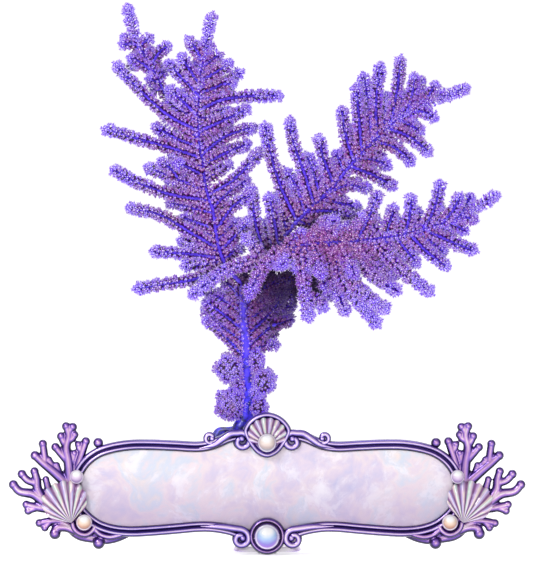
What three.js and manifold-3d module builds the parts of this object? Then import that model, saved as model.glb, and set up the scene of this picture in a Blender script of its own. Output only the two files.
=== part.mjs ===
// A frilly sea fan grown on a holdfast, standing on a plinth behind an ornate cast name plaque.
// Units are millimetres, +Z is up, the plaque faces -Y and the piece stands on z = 0. Depths below are
// counted from the plaque's mid-thickness, and the whole is moved to its origin at the end.
import * as THREE from "three";
import { mergeVertices } from "three/addons/utils/BufferGeometryUtils.js";
import Module from "manifold-3d";

const wasm = await Module();
wasm.setup();

// Driving dimensions
const BRANCHLET_RADIUS = 4.9; // from the middle of a branchlet to the tips of its polyps
const AXIS_RADIUS = 4.4; // the same round the main stem of a frond
const TRUNK_RADIUS = 3.1; // bare stem below the fronds
const GAP = 0.3; // clearance between pieces that touch
const TRACE_STEP = 0.58; // real size of one unit of the traced front view
const TRACE_MIDDLE = 267.1; // traced x of the plaque's line of symmetry
const TRACE_GROUND = 554.3; // traced y of the surface it stands on, y counted downwards

// Depths along Y
const PLATE_BACK = 4;
const PLATE_FRONT = -3;
const PANEL_FRONT = -5.2;
const RAIL_DEPTH = -5;
const MEDALLION_FRONT = -7;
const BOSS_FRONT = -5.5;
const SPRIG_DEPTH = -3.5;

// Plinth behind the plaque
const PLINTH_HEIGHT = 62;
const PLINTH_FRONT = 4.3;
const PLINTH_BACK = 34;
const NECK_HALF_WIDTH = 5.8;
const FOOT_HALF_WIDTH = 20;
const FOOT_FRONT = 20;
const FOOT_BACK = 60;
const FOOT_HEIGHT = 3;

// Routes are hand-chosen points [x, y] of the front view in trace units, y downwards. The main stem
// of a frond adds a depth in mm. A branchlet starts on its stem and leans by its first number, in mm.
const TRUNK = {
  stem: [
    [238, 436, 17], [246, 418, 17], [248, 400, 16], [248, 386, 16], [246, 368, 15], [246, 350, 14],
    [245, 333, 13], [243, 316, 12], [243, 300, 10], [241, 284, 8],
  ],
  // Short curled branchlets that read as tufts: centre, then half width, half depth and half height
  tufts: [
    [[230.5, 369], [9.4, 6.5, 9]], [[256, 362], [5.4, 5, 7.4]], [[264, 382], [7.4, 6, 8.6]],
    [[231, 405], [9.6, 6.5, 9.4]], [[258.5, 406], [5.8, 5, 6.4]], [[239, 387], [4.4, 4.5, 4.8]],
    [[254.5, 393], [4.4, 4.5, 5.2]],
  ],
  branchlets: [
    [9, [244, 357], [222, 334], [201, 317]],
    [13, [244, 342], [220, 325], [200, 307]],
    [7, [243, 330], [220, 312], [201, 299]],
    [12, [243, 313], [225, 301], [203, 290]],
    [6, [242, 302], [233, 289], [221, 279]],
    [9, [249, 352], [262, 347], [281, 345]],
    [14, [248, 346], [271, 327], [293, 311]],
    [14, [272, 326], [284, 322], [294, 319]],
    [8, [247, 335], [266, 318], [286, 292]],
    [15, [246, 324], [256, 310], [272, 285]],
    [10, [244, 310], [268, 298], [291, 289]],
    [16, [243, 302], [258, 286], [270, 270]],
    [14, [248, 307], [275, 294], [300, 296]],
    [18, [243, 298], [290, 277], [332, 283]],
    [19, [246, 302], [282, 289], [324, 294]],
    [17, [243, 296], [267, 272], [284, 258]],
    [16, [246, 304], [272, 284], [297, 270]],
    [15, [246, 321], [272, 307], [298, 307]],
  ],
};

const TALL_FROND = {
  stem: [
    [242, 284, 8], [233, 275, 8], [226, 266, 8], [218, 245, 9], [213, 212, 10], [206, 190, 11],
    [202, 160, 12], [198, 132, 12], [199, 90, 13], [203, 55, 14], [207, 34, 14], [212, 14, 14],
  ],
  branchlets: [
    [-5, [224, 267], [195, 279], [165, 284], [131, 290]],
    [1, [220, 258], [190, 254], [148, 251]],
    [-3, [217, 248], [190, 232], [160, 215], [124, 207]],
    [4, [213, 228], [196, 222], [177, 216]],
    [-2, [208, 200], [170, 194], [135, 181], [109, 167]],
    [5, [213, 213], [190, 207], [164, 201]],
    [3, [205, 190], [178, 179], [142, 165]],
    [-3, [178, 178], [170, 168], [156, 158]],
    [-5, [203, 175], [190, 168], [171, 161]],
    [-1, [200, 157], [170, 147], [140, 139], [100, 127]],
    [4, [198, 146], [172, 136], [150, 123]],
    [-4, [197, 130], [167, 114], [138, 88], [112, 61]],
    [-1, [198, 116], [182, 100], [165, 85]],
    [2, [199, 95], [182, 77], [164, 58]],
    [-3, [200, 85], [190, 70], [178, 51]],
    [3, [202, 66], [192, 59]],
    [-2, [202, 60], [195, 47], [185, 34]],
    [-1, [205, 45], [216, 45]],
    [2, [201, 68], [212, 58], [224, 52]],
    [-3, [200, 80], [216, 71], [234, 59]],
    [3, [200, 92], [222, 83], [244, 68]],
    [-2, [222, 83], [230, 83], [238, 82]],
    [-1, [201, 108], [222, 99], [255, 95], [285, 95]],
    [-3, [200, 130], [225, 119], [252, 106]],
    [5, [202, 134], [214, 129], [234, 122]],
    [0, [200, 155], [225, 136], [259, 125]],
    [4, [205, 163], [228, 151], [253, 141]],
    [-2, [208, 195], [235, 178], [263, 147]],
    [3, [212, 208], [230, 190], [251, 177]],
    [-3, [217, 229], [232, 207], [256, 191]],
    [3, [218, 240], [229, 228], [242, 218]],
    [-2, [220, 250], [238, 233], [253, 217]],
    [2, [224, 260], [233, 252], [244, 243]],
  ],
};

const BACK_PLUME = {
  stem: [
    [198, 137, 13], [184, 118, 19], [168, 99, 23], [158, 79, 25], [147, 60, 26], [138, 42, 26],
    [131, 24, 26], [126, 5, 26],
  ],
  branchlets: [
    [2, [140, 46], [130, 40], [118, 32]],
    [-2, [131, 41], [124, 42], [116, 40]],
    [-2, [139, 43], [146, 37], [153, 32]],
    [2, [150, 62], [160, 48], [172, 41]],
    [-3, [150, 68], [139, 60], [125, 54]],
    [3, [143, 63], [134, 62], [125, 64]],
    [-2, [158, 80], [150, 78], [143, 77]],
    [2, [161, 86], [154, 88], [148, 86]],
    [3, [157, 75], [166, 66]],
  ],
};

const MIDDLE_FROND = {
  stem: [
    [247, 304, 8], [254, 286, 6], [263, 269, 4], [276, 248, 3], [303, 215, 2], [330, 190, 2],
    [350, 166, 2], [372, 143, 3], [398, 119, 3], [428, 102, 4], [467, 88, 4],
  ],
  branchlets: [
    [5, [268, 259], [256, 226], [252, 183]],
    [-2, [278, 245], [275, 225], [268, 191]],
    [1, [297, 221], [281, 187], [271, 155], [264, 120]],
    [5, [305, 212], [297, 188], [284, 166]],
    [-2, [314, 205], [304, 172], [292, 138], [290, 115]],
    [3, [321, 198], [313, 172], [305, 150]],
    [-1, [334, 185], [323, 156], [318, 132]],
    [5, [345, 172], [334, 149]],
    [2, [354, 162], [346, 135], [341, 104]],
    [-3, [362, 153], [359, 120], [356, 82]],
    [2, [372, 143], [369, 105], [362, 70]],
    [-1, [377, 138], [376, 105], [381, 60]],
    [3, [391, 125], [397, 92], [402, 53]],
    [-2, [407, 113], [413, 90], [415, 71]],
    [3, [413, 109], [418, 91], [423, 75]],
    [-1, [424, 104], [431, 92], [438, 80]],
    [-2, [411, 111], [424, 112], [439, 121]],
    [3, [398, 119], [411, 125], [425, 134]],
    [-1, [389, 128], [412, 138], [433, 156]],
    [2, [374, 141], [394, 147], [416, 166]],
    [5, [358, 157], [375, 160], [393, 168]],
    [-2, [350, 166], [373, 175], [398, 189]],
    [1, [328, 192], [350, 185], [373, 190]],
    [6, [320, 199], [340, 203], [363, 208]],
    [-1, [306, 212], [328, 211], [359, 219]],
    [4, [298, 222], [312, 225], [326, 228]],
  ],
};

const RIGHT_FROND = {
  stem: [
    [243, 303, 9], [248, 288, 2], [256, 274, -4], [267, 261, -8], [290, 248, -12],
    [320, 243, -15], [355, 241, -16], [400, 235, -16], [440, 224, -15], [470, 211, -14], [495, 196, -13],
  ],
  branchlets: [
    [-2, [355, 243], [366, 222], [379, 190]],
    [3, [385, 238], [390, 220], [394, 203]],
    [-1, [404, 235], [409, 214], [410, 192]],
    [2, [422, 230], [434, 207], [440, 179]],
    [-2, [441, 224], [452, 210], [461, 192]],
    [3, [459, 217], [465, 206], [471, 192]],
    [-2, [461, 215], [469, 219], [478, 222]],
    [3, [448, 222], [458, 227], [468, 235]],
    [-1, [424, 230], [450, 242], [478, 253]],
    [4, [418, 232], [432, 244], [447, 255]],
    [-3, [408, 234], [426, 252], [450, 270]],
    [2, [394, 236], [405, 250], [419, 268]],
    [-1, [370, 240], [400, 269], [433, 295]],
    [6, [355, 242], [376, 266], [399, 278]],
    [2, [350, 242], [370, 274], [401, 293]],
    [-2, [340, 242], [352, 280], [389, 313]],
    [3, [333, 243], [343, 280], [380, 328]],
    [-9, [339, 242], [348, 262], [356, 279]],
    [-9, [312, 244], [318, 262], [322, 280]],
    [-3, [301, 246], [304, 285], [309, 323]],
    [-1, [306, 297], [315, 300], [327, 312]],
    [7, [327, 243], [334, 283], [348, 317]],
    [10, [318, 243], [322, 278], [331, 301]],
    [-13, [283, 250], [264, 266], [247, 299]],
    [-11, [285, 249], [283, 259], [281, 270]],
    [-4, [270, 258], [228, 270], [188, 298]],
    [-3, [264, 262], [252, 243], [242, 234]],
    [1, [294, 247], [312, 236], [328, 226]],
    [3, [316, 243], [336, 234], [352, 223]],
    [0, [338, 242], [354, 230], [366, 211]],
    [2, [318, 241], [328, 229], [339, 215]],
    [1, [306, 245], [318, 231], [328, 216]],
    [-1, [282, 251], [294, 240], [307, 229]],
  ],
};

// Inner edge of the plaque's moulding, left half, from the top middle round to the bottom middle
const PANEL_EDGE = [
  [267.1, 440], [240, 440], [230, 442], [221, 446], [211, 449.5], [198, 451.3], [175, 450.3],
  [150, 449.3], [130, 449.7], [112, 452.7], [100, 457], [90, 464.5], [84, 473], [81, 484],
  [81, 496], [84, 505], [90, 512.5], [100, 520], [113, 524.5], [130, 526.3], [150, 525.5],
  [175, 523.5], [198, 521.5], [214, 521.8], [230, 524.5], [245, 529], [267.1, 531],
];
// Section of the moulding from the recess outwards: distance from the edge, depth
const MOULDING = [
  [0, PLATE_FRONT], [0.1, -5.8], [1.4, -6.5], [2.5, -5.7], [4.2, -7.1], [6, -5], [5.4, PLATE_BACK],
];
const EDGE_POINTS = 40;
const ARCH = [
  [-2.4, MEDALLION_FRONT], [-1.4, -8.3], [0.2, -8.2], [0.9, -6.8], [0.6, PLATE_BACK - 1],
];

const TOP_MEDALLION = [
  [267.1, 413.5], [257, 416], [249, 422], [244.5, 430], [247, 438], [252, 446], [258, 452.5],
  [267.1, 456],
];
const BOTTOM_MEDALLION = { x: 267.1, y: 535.6, radius: 10.8 };
const CORNER_BODY = [
  [74, 508], [69, 518], [70, 527], [76, 534], [86, 537], [96, 539], [106, 541.5], [117, 538],
  [126, 533], [112, 526], [98, 519], [87, 510],
];
const BOSS = [
  [75, 478], [62, 480], [50, 487], [44, 496], [43, 507], [50, 516], [62, 523], [72, 524],
  [72, 512], [74, 495],
];

// Scrolls: lead-in points, then a spiral about a centre from a start angle (0 is up, clockwise)
const SCROLLS = [
  {
    lead: [[204, 447], [214, 444.5], [223, 438.5], [231, 433.5]],
    centre: [241.7, 441.3], start: -25, turn: 400, from: 9.3, to: 2.6, thick: 2.6, thin: 1.7,
  },
  {
    lead: [[222, 440], [216, 443]],
    centre: [210.3, 437.5], start: 175, turn: 300, from: 5.6, to: 1.9, thick: 2, thin: 1.5,
  },
  {
    lead: [[208, 526], [222, 526.3], [235, 528]],
    centre: [240.7, 538.3], start: 15, turn: 420, from: 9.2, to: 2.4, thick: 2.5, thin: 1.7,
  },
];
const KNOBS = [
  { at: [98.5, 442.5], radius: 3 },
  { at: [99, 542.6], radius: 3.6 },
];
const PEARL_CUP = [[72.5, 520], [74.5, 528], [80, 533], [87, 534], [93, 530], [96.5, 523]];
const CORNER_RIDGE = [[94, 527], [100, 533.5], [110, 536.5], [124, 533.5]];

// Branching ornament behind each shell: route, then the radius at its root and at its tip
const SPRIGS = [
  { route: [[71, 484], [69, 462], [66.5, 447], [69, 434], [66, 425]], root: 3.1, tip: 2.2 },
  { route: [[68.5, 434], [71, 429], [74, 426]], root: 1.9, tip: 2.2 },
  { route: [[66.5, 446], [63, 440], [61, 435]], root: 1.9, tip: 2.2 },
  { route: [[68, 441], [73, 438], [75.5, 433.5]], root: 1.9, tip: 2 },
  { route: [[69, 462], [61, 453], [55, 446]], root: 2.2, tip: 2.2 },
  { route: [[70.5, 468], [73.5, 459], [75, 452]], root: 1.9, tip: 1.9 },
  { route: [[76, 474], [80, 459], [83, 450], [86.5, 440]], root: 2.3, tip: 2.2 },
  { route: [[82.5, 452], [79.5, 448], [78.5, 443]], root: 1.8, tip: 1.9 },
  { route: [[68, 484], [55, 472], [44, 463], [34.5, 454.5]], root: 3, tip: 2.4 },
  { route: [[46, 465], [44.5, 453], [43, 442.5]], root: 2, tip: 2.2 },
  { route: [[60, 475], [58.5, 469], [56.5, 464]], root: 1.8, tip: 1.8 },
  { route: [[56, 473], [52, 464], [48.5, 458.5]], root: 1.9, tip: 1.8 },
  { route: [[50, 492], [47.5, 484], [46, 478]], root: 2.2, tip: 1.8 },
  { route: [[46, 503], [38, 489], [37, 479], [34.5, 470]], root: 2.9, tip: 2.2 },
  { route: [[37, 483], [28, 480], [21.5, 473]], root: 2, tip: 2.3 },
  { route: [[46, 503], [34, 494], [20, 491], [13, 483.5]], root: 2.8, tip: 2.4 },
  { route: [[48, 508], [38, 507], [25.5, 504]], root: 2.5, tip: 2.1 },
  { route: [[38, 507], [32, 509], [27.5, 511]], root: 2, tip: 2.1 },
  { route: [[72, 527], [60, 520.5], [48, 521], [38.5, 523]], root: 2.2, tip: 2.1 },
  { route: [[51, 520.5], [47, 525], [44.5, 528.5]], root: 1.8, tip: 1.9 },
  { route: [[76, 531], [66, 527], [57, 528], [55, 534.5]], root: 2.2, tip: 2.9 },
];

// Scallop shells: hinge point, the way they open (0 is up, clockwise), half spread and rib count
const SHELLS = {
  top: { hinge: [267.1, 445], open: 0, spread: 80, reach: 14.3, narrow: 0.34, ribs: 10, rise: 4.2 },
  side: { hinge: [72, 522], open: -18, spread: 62, reach: 24.8, narrow: 0.54, ribs: 10, rise: 6 },
};
const PEARLS = {
  top: { at: [267.1, 442], radius: 5.5 },
  bottom: { at: [267.1, 535.6], radius: 7.3 },
  upper: { at: [77.4, 476], radius: 4.1 },
  lower: { at: [85, 521.4], radius: 4.7 },
};

const place = ([x, y], depth, side = 1) =>
  new THREE.Vector3((x - TRACE_MIDDLE) * TRACE_STEP * side, depth, (TRACE_GROUND - y) * TRACE_STEP);

// Solids from geometry
function solid(geometry) {
  geometry.deleteAttribute("normal");
  geometry.deleteAttribute("uv");
  const merged = mergeVertices(geometry, 1e-4);
  const corners = merged.index.array;
  const kept = [];
  for (let i = 0; i < corners.length; i += 3) {
    const [a, b, c] = [corners[i], corners[i + 1], corners[i + 2]];
    if (a !== b && b !== c && c !== a) kept.push(a, b, c);
  }
  return new wasm.Manifold(
    new wasm.Mesh({
      numProp: 3,
      vertProperties: merged.attributes.position.array,
      triVerts: new Uint32Array(kept),
    }),
  );
}

function shell(vertices, faces) {
  const geometry = new THREE.BufferGeometry();
  geometry.setAttribute("position", new THREE.Float32BufferAttribute(vertices.flatMap((v) => [...v]), 3));
  geometry.setIndex(faces);
  return solid(geometry);
}

const join = (solids) => solids.reduce((whole, next) => whole.add(next));

// Faces between two rings of vertices, each ring running round the sweep's own direction
function band(first, second, sides) {
  const faces = [];
  for (let k = 0; k < sides; k++) {
    const next = (k + 1) % sides;
    faces.push(first + k, first + next, second + next, first + k, second + next, second + k);
  }
  return faces;
}

// A tube along a smooth curve through points. Each ring is [where, radius], with where running from
// 0 at the root to 1 at the tip, and both ends close in a blunt point.
const FRAME_STEPS = 60;
function tube(points, rings, sides) {
  const curve = new THREE.CatmullRomCurve3(points, false, "centripetal");
  const frames = curve.computeFrenetFrames(FRAME_STEPS);
  const vertices = [];
  for (const [where, radius] of rings) {
    const centre = curve.getPointAt(where);
    const nearestFrame = Math.round(where * FRAME_STEPS);
    for (let k = 0; k < sides; k++) {
      const angle = (2 * Math.PI * k) / sides;
      vertices.push(
        centre
          .clone()
          .addScaledVector(frames.normals[nearestFrame], radius * Math.cos(angle))
          .addScaledVector(frames.binormals[nearestFrame], radius * Math.sin(angle)),
      );
    }
  }
  const faces = [];
  const last = rings.length - 1;
  for (let i = 0; i < last; i++) faces.push(...band(i * sides, (i + 1) * sides, sides));
  const root = vertices.length;
  const tip = root + 1;
  vertices.push(
    curve.getPointAt(0).addScaledVector(frames.tangents[0], -0.3 * rings[0][1]),
    curve.getPointAt(1).addScaledVector(frames.tangents[FRAME_STEPS], 0.45 * rings[last][1]),
  );
  for (let k = 0; k < sides; k++) {
    const next = (k + 1) % sides;
    faces.push(root, next, k, tip, last * sides + k, last * sides + next);
  }
  return shell(vertices, faces);
}

// A flat plate cut to an outline of front-view points, between two depths
function plate(points, front, back) {
  const outline = new THREE.Shape(points.map((p) => new THREE.Vector2(p.x, p.z)));
  const geometry = new THREE.ExtrudeGeometry(outline, { depth: back - front, bevelEnabled: false });
  geometry.rotateX(Math.PI / 2);
  geometry.translate(0, back, 0);
  return solid(geometry);
}

// Rings at even steps, with a radius that is a function of where they are
const evenly = (steps, radiusAt) =>
  Array.from({ length: steps + 1 }, (_, i) => [i / steps, radiusAt(i / steps)]);

const smooth = (points, count) =>
  new THREE.CatmullRomCurve3(points, true, "centripetal").getSpacedPoints(count).slice(0, count);

// A closed outline from its left half, which starts and ends on the middle line
function mirrored(half, depth) {
  const right = half.slice(1, -1).reverse();
  return [...half.map((p) => place(p, depth)), ...right.map((p) => place(p, depth, -1))];
}

const panelEdge = () => smooth(mirrored(PANEL_EDGE, 0), EDGE_POINTS);

// The outline moved outwards by a distance, within its own plane
function offset(points, distance) {
  return points.map((point, i) => {
    const before = points[(i + points.length - 1) % points.length];
    const after = points[(i + 1) % points.length];
    const along = after.clone().sub(before).normalize();
    return point.clone().add(new THREE.Vector3(along.z, 0, -along.x).multiplyScalar(distance));
  });
}

// Fronds
function nearest(curvePoints, [x, y]) {
  let best = curvePoints[0];
  let least = Infinity;
  for (const point of curvePoints) {
    const away = Math.hypot(point.x - x, point.y - y);
    if (away < least) [least, best] = [away, point];
  }
  return best;
}

function stemPoints({ stem }) {
  const traced = stem.map(([x, y, depth]) => new THREE.Vector3(x, y, depth));
  return new THREE.CatmullRomCurve3(traced, false, "centripetal").getPoints(80);
}

// Rings of a branchlet: a narrow root inside the stem, an even width, and a rounded end
function branchletRings(length, full) {
  const shoulder = 1 - Math.min(0.3, (0.65 * full) / length);
  const end = [[shoulder, full], [1, 0.62 * full]];
  if (length < 24) return [[0, 0.7 * full], ...end];
  if (length < 58) return [[0, 0.5 * full], [0.28, full], ...end];
  return [[0, 0.5 * full], [0.2, full], [0.58, full], ...end];
}

function branchletTube(frond, [lean, ...route], grow) {
  const root = nearest(stemPoints(frond), route[0]);
  const last = route.length - 1;
  const points = route.map((p, i) => place(p, root.z + lean * (i / last) ** 0.8));
  const curve = new THREE.CatmullRomCurve3(points, false, "centripetal");
  return tube(points, branchletRings(curve.getLength(), BRANCHLET_RADIUS + grow), 4);
}

function frondSolid(frond, grow = 0) {
  const points = frond.stem.map(([x, y, depth]) => place([x, y], depth));
  const length = new THREE.CatmullRomCurve3(points).getLength();
  const full = AXIS_RADIUS + grow;
  const even = evenly(Math.round(length / 17), () => full).slice(0, -1);
  const rings = [...even, [1 - (0.65 * full) / length, full], [1, 0.62 * full]];
  const stem = tube(points, rings, 5);
  return join([stem, ...frond.branchlets.map((b) => branchletTube(frond, b, grow))]);
}

// The holdfast spreads over the top of the plinth, and the bare trunk rises from it
function trunkSolid(grow = 0) {
  const points = TRUNK.stem.map(([x, y, depth]) => place([x, y], depth));
  const flare = (t) => {
    const foot = 5 * Math.exp(-t * 15);
    const crown = 1.9 * THREE.MathUtils.smoothstep(t, 0.6, 0.8);
    return grow + TRUNK_RADIUS + foot + crown;
  };
  const stem = tube(points, evenly(14, flare), 6);
  const mound = new THREE.SphereGeometry(1, 12, 6).scale(13.5 + grow, 9 + grow, 11 + grow);
  mound.translate(-22.5, 17, PLINTH_HEIGHT + 1);
  const tufts = TRUNK.tufts.map(([centre, [width, deep, high]]) => {
    const middle = place(centre, nearest(stemPoints(TRUNK), centre).z);
    const ball = new THREE.SphereGeometry(1, 7, 5).scale(width + grow, deep + grow, high + grow);
    return solid(ball.translate(middle.x, middle.y, middle.z));
  });
  const below = new THREE.BoxGeometry(80, 80, 30);
  below.translate(-20, 17, PLINTH_HEIGHT + GAP - 15);
  const branchlets = TRUNK.branchlets.map((b) => branchletTube(TRUNK, b, grow));
  return join([stem, solid(mound), ...tufts, ...branchlets]).subtract(solid(below));
}

// A solid made larger by the gap along every axis
function swollen(whole) {
  const shifts = [[GAP, 0, 0], [-GAP, 0, 0], [0, GAP, 0], [0, -GAP, 0], [0, 0, GAP], [0, 0, -GAP]];
  return join(shifts.map((shift) => whole.translate(shift)));
}

const largest = (whole) => whole.decompose().sort((a, b) => b.volume() - a.volume())[0];

// Plinth: a foot that widens behind the plaque, and a column that widens to carry the holdfast
function plinthSolid() {
  const column = [
    [-NECK_HALF_WIDTH, 0], [-NECK_HALF_WIDTH, 8], [-13, 20], [-22, 34], [-33, 47], [-36, 55],
    [-36, PLINTH_HEIGHT], [36, PLINTH_HEIGHT], [36, 55], [33, 47], [22, 34], [13, 20],
    [NECK_HALF_WIDTH, 8], [NECK_HALF_WIDTH, 0],
  ].map(([x, z]) => new THREE.Vector3(x, 0, z));
  const foot = new THREE.Shape();
  const corner = 8;
  foot.moveTo(-FOOT_HALF_WIDTH, FOOT_FRONT + 2);
  foot.lineTo(2 - FOOT_HALF_WIDTH, FOOT_FRONT);
  foot.lineTo(FOOT_HALF_WIDTH - 2, FOOT_FRONT);
  foot.lineTo(FOOT_HALF_WIDTH, FOOT_FRONT + 2);
  foot.lineTo(FOOT_HALF_WIDTH, FOOT_BACK - corner);
  foot.absarc(FOOT_HALF_WIDTH - corner, FOOT_BACK - corner, corner, 0, Math.PI / 2, false);
  foot.absarc(corner - FOOT_HALF_WIDTH, FOOT_BACK - corner, corner, Math.PI / 2, Math.PI, false);
  const settings = { depth: FOOT_HEIGHT, bevelEnabled: false, curveSegments: 4 };
  const base = new THREE.ExtrudeGeometry(foot, settings);
  return join([plate(column, PLINTH_FRONT, PLINTH_BACK), solid(base)]);
}

// A scroll is a band that leads in and rolls up into a spiral
function scrollSolid({ lead, centre, start, turn, from, to, thick, thin }, side) {
  const curl = [];
  const stepAngle = 50;
  for (let angle = 0; angle <= turn; angle += stepAngle) {
    const radius = from + ((to - from) * angle) / turn;
    const bearing = THREE.MathUtils.degToRad(start + angle);
    curl.push([centre[0] + radius * Math.sin(bearing), centre[1] - radius * Math.cos(bearing)]);
  }
  const points = [...lead, ...curl].map((p) => place(p, RAIL_DEPTH - 1.2, side));
  return tube(points, evenly(Math.round(turn / 34), (t) => thick + (thin - thick) * t), 4);
}

// A plate and its moulding in one: the section carried round the edge, closed by the flat floor in
// front and the flat back
function mouldedPlate(edge, section) {
  const count = edge.length;
  const rings = section.map(([out, depth]) => offset(edge, out).map((p) => p.setY(depth)));
  const faces = [];
  for (let ring = 0; ring + 1 < rings.length; ring++) {
    faces.push(...band((ring + 1) * count, ring * count, count));
  }
  const flat = (points) => points.map((p) => new THREE.Vector2(p.x, p.z));
  const last = (rings.length - 1) * count;
  for (const [i, j, k] of THREE.ShapeUtils.triangulateShape(flat(rings[0]), [])) faces.push(i, j, k);
  for (const [i, j, k] of THREE.ShapeUtils.triangulateShape(flat(rings.at(-1)), [])) {
    faces.push(last + i, last + k, last + j);
  }
  return shell(rings.flat(), faces);
}

const archSolid = () => mouldedPlate(smooth(mirrored(TOP_MEDALLION, 0), 18), ARCH);

function frameSolid() {
  const parts = [
    mouldedPlate(panelEdge(), MOULDING),
    archSolid(),
    bottomMedallion(),
  ];
  for (const side of [1, -1]) {
    parts.push(plate(CORNER_BODY.map((p) => place(p, 0, side)), BOSS_FRONT, PLATE_BACK - 1));
    for (const scroll of SCROLLS) parts.push(scrollSolid(scroll, side));
    for (const ridge of [PEARL_CUP, CORNER_RIDGE]) {
      parts.push(tube(ridge.map((p) => place(p, BOSS_FRONT, side)), evenly(4, () => 1.6), 4));
    }
    for (const { at, radius } of KNOBS) {
      const centre = place(at, RAIL_DEPTH + 1, side);
      parts.push(solid(new THREE.OctahedronGeometry(radius, 1).translate(centre.x, centre.y, centre.z)));
    }
  }
  return join(parts);
}

// A round boss with a raised hoop, turned about the axis that points to the viewer
function bottomMedallion() {
  const { x, y, radius } = BOTTOM_MEDALLION;
  const profile = [
    [0, MEDALLION_FRONT], [radius - 2.6, MEDALLION_FRONT], [radius - 1.8, MEDALLION_FRONT - 1.4],
    [radius - 0.5, MEDALLION_FRONT - 1], [radius, MEDALLION_FRONT + 1], [radius - 0.4, PLATE_BACK - 0.5],
    [0, PLATE_BACK - 0.5],
  ];
  const geometry = new THREE.LatheGeometry(profile.map(([r, depth]) => new THREE.Vector2(r, depth)), 20);
  const centre = place([x, y], 0);
  return solid(geometry.translate(centre.x, 0, centre.z));
}

// The pearly inlay fills the recess, with room cut out for the medallions and the scrolls
function panelSolid() {
  const room = [plate(offset(smooth(mirrored(TOP_MEDALLION, 0), 18), 1.3), PANEL_FRONT - 1, 0)];
  const rounds = [[[BOTTOM_MEDALLION.x, BOTTOM_MEDALLION.y], BOTTOM_MEDALLION.radius + GAP, 1]];
  for (const { centre, from, thick } of [SCROLLS[0], SCROLLS[2]]) {
    for (const side of [1, -1]) rounds.push([centre, from * TRACE_STEP + thick + GAP, side]);
  }
  for (const [centre, radius, side] of rounds) {
    const { x, y, z } = place(centre, PANEL_FRONT, side);
    room.push(solid(new THREE.CylinderGeometry(radius, radius, 6, 14).translate(x, y, z)));
  }
  const inlay = plate(offset(panelEdge(), -GAP), PANEL_FRONT, PLATE_FRONT - GAP);
  return largest(room.reduce((whole, cut) => whole.subtract(cut), inlay));
}

// A pearl set in the plaque, nearly round in front and flat where it is fixed
function pearlSolid({ at, radius }, back, side = 1) {
  const seat = THREE.MathUtils.degToRad(125);
  const profile = [];
  for (let k = 0; k <= 5; k++) {
    const angle = (seat * k) / 5;
    profile.push(new THREE.Vector2(radius * Math.sin(angle), radius * Math.cos(angle)));
  }
  profile.push(new THREE.Vector2(0, radius * Math.cos(seat)));
  profile.reverse();
  profile[0].x = 0;
  profile[profile.length - 1].x = 0;
  const geometry = new THREE.LatheGeometry(profile, 10);
  geometry.rotateX(Math.PI);
  const centre = place(at, back + radius * Math.cos(seat), side);
  return solid(geometry.translate(centre.x, centre.y, centre.z));
}

// A ribbed scallop shell: ribs fan out from the hinge over a domed back
function scallopSolid({ hinge, open, spread, reach, narrow, ribs, rise }, back, side = 1) {
  const columns = ribs * 2;
  const rows = 3;
  const origin = place(hinge, back, side);
  const front = [];
  const rear = [];
  for (let i = 0; i <= columns; i++) {
    const turn = (2 * i) / columns - 1;
    const bearing = THREE.MathUtils.degToRad(open + spread * turn);
    const ridge = i % 2 ? 1 : 0;
    const edge = reach * (1 - narrow * Math.abs(turn) ** 2.5) * (ridge ? 1.03 : 0.97);
    for (let j = 0; j <= rows; j++) {
      const out = j / rows;
      const dome = rise * Math.sqrt(out) * (1 - out ** 3) * (1 - 0.6 * turn * turn);
      const height = 0.8 + dome + 0.5 * ridge * out;
      const x = origin.x + side * edge * out * Math.sin(bearing);
      const z = origin.z + edge * out * Math.cos(bearing);
      front.push(new THREE.Vector3(x, back - height, z));
      rear.push(new THREE.Vector3(x, back, z));
    }
  }
  const width = rows + 1;
  const lift = front.length;
  const faces = [];
  const quad = (a, b, c, d) => faces.push(a, b, c, a, c, d);
  for (let i = 0; i < columns; i++) {
    for (let j = 0; j < rows; j++) {
      const a = i * width + j;
      quad(a, a + width, a + width + 1, a + 1);
      quad(lift + a, lift + a + 1, lift + a + width + 1, lift + a + width);
    }
    const rim = i * width + rows;
    quad(rim, rim + width, lift + rim + width, lift + rim);
    const root = i * width;
    quad(root + width, root, lift + root, lift + root + width);
  }
  const end = columns * width;
  for (let j = 0; j < rows; j++) {
    quad(j, j + 1, lift + j + 1, lift + j);
    quad(end + j + 1, end + j, lift + end + j, lift + end + j + 1);
  }
  // A mirrored shell has its faces turned the right way round again
  for (let i = 0; side < 0 && i < faces.length; i += 3) {
    [faces[i + 1], faces[i + 2]] = [faces[i + 2], faces[i + 1]];
  }
  return shell([...front, ...rear], faces);
}

// The sprigs of one corner grow from a boss that also carries the shell
function sprigSolid(side) {
  const boss = plate(BOSS.map((p) => place(p, 0, side)), BOSS_FRONT, 0);
  const twigs = SPRIGS.map(({ route, root, tip }) => {
    const steps = route.length > 3 ? 2 : 1;
    const points = route.map((p) => place(p, SPRIG_DEPTH, side));
    return tube(points, evenly(steps, (t) => root + (tip - root) * t), 4);
  });
  return join([boss, ...twigs]);
}

const materials = {
  coral: { color: 0x7d52d6, roughness: 0.85, metalness: 0 },
  stem: { color: 0x4b33f0, roughness: 0.6, metalness: 0 },
  casting: { color: 0x8a62b4, roughness: 0.28, metalness: 0.6 },
  nacre: { color: 0xe6dcec, roughness: 0.3, metalness: 0 },
  pearl: { color: 0xf0e6f2, roughness: 0.15, metalness: 0 },
  plinth: { color: 0x5a3f86, roughness: 0.45, metalness: 0 },
};

// The origin is the middle of the foot's underside
const object = new THREE.Group();
object.position.y = -(FOOT_FRONT + FOOT_BACK) / 2;

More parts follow.
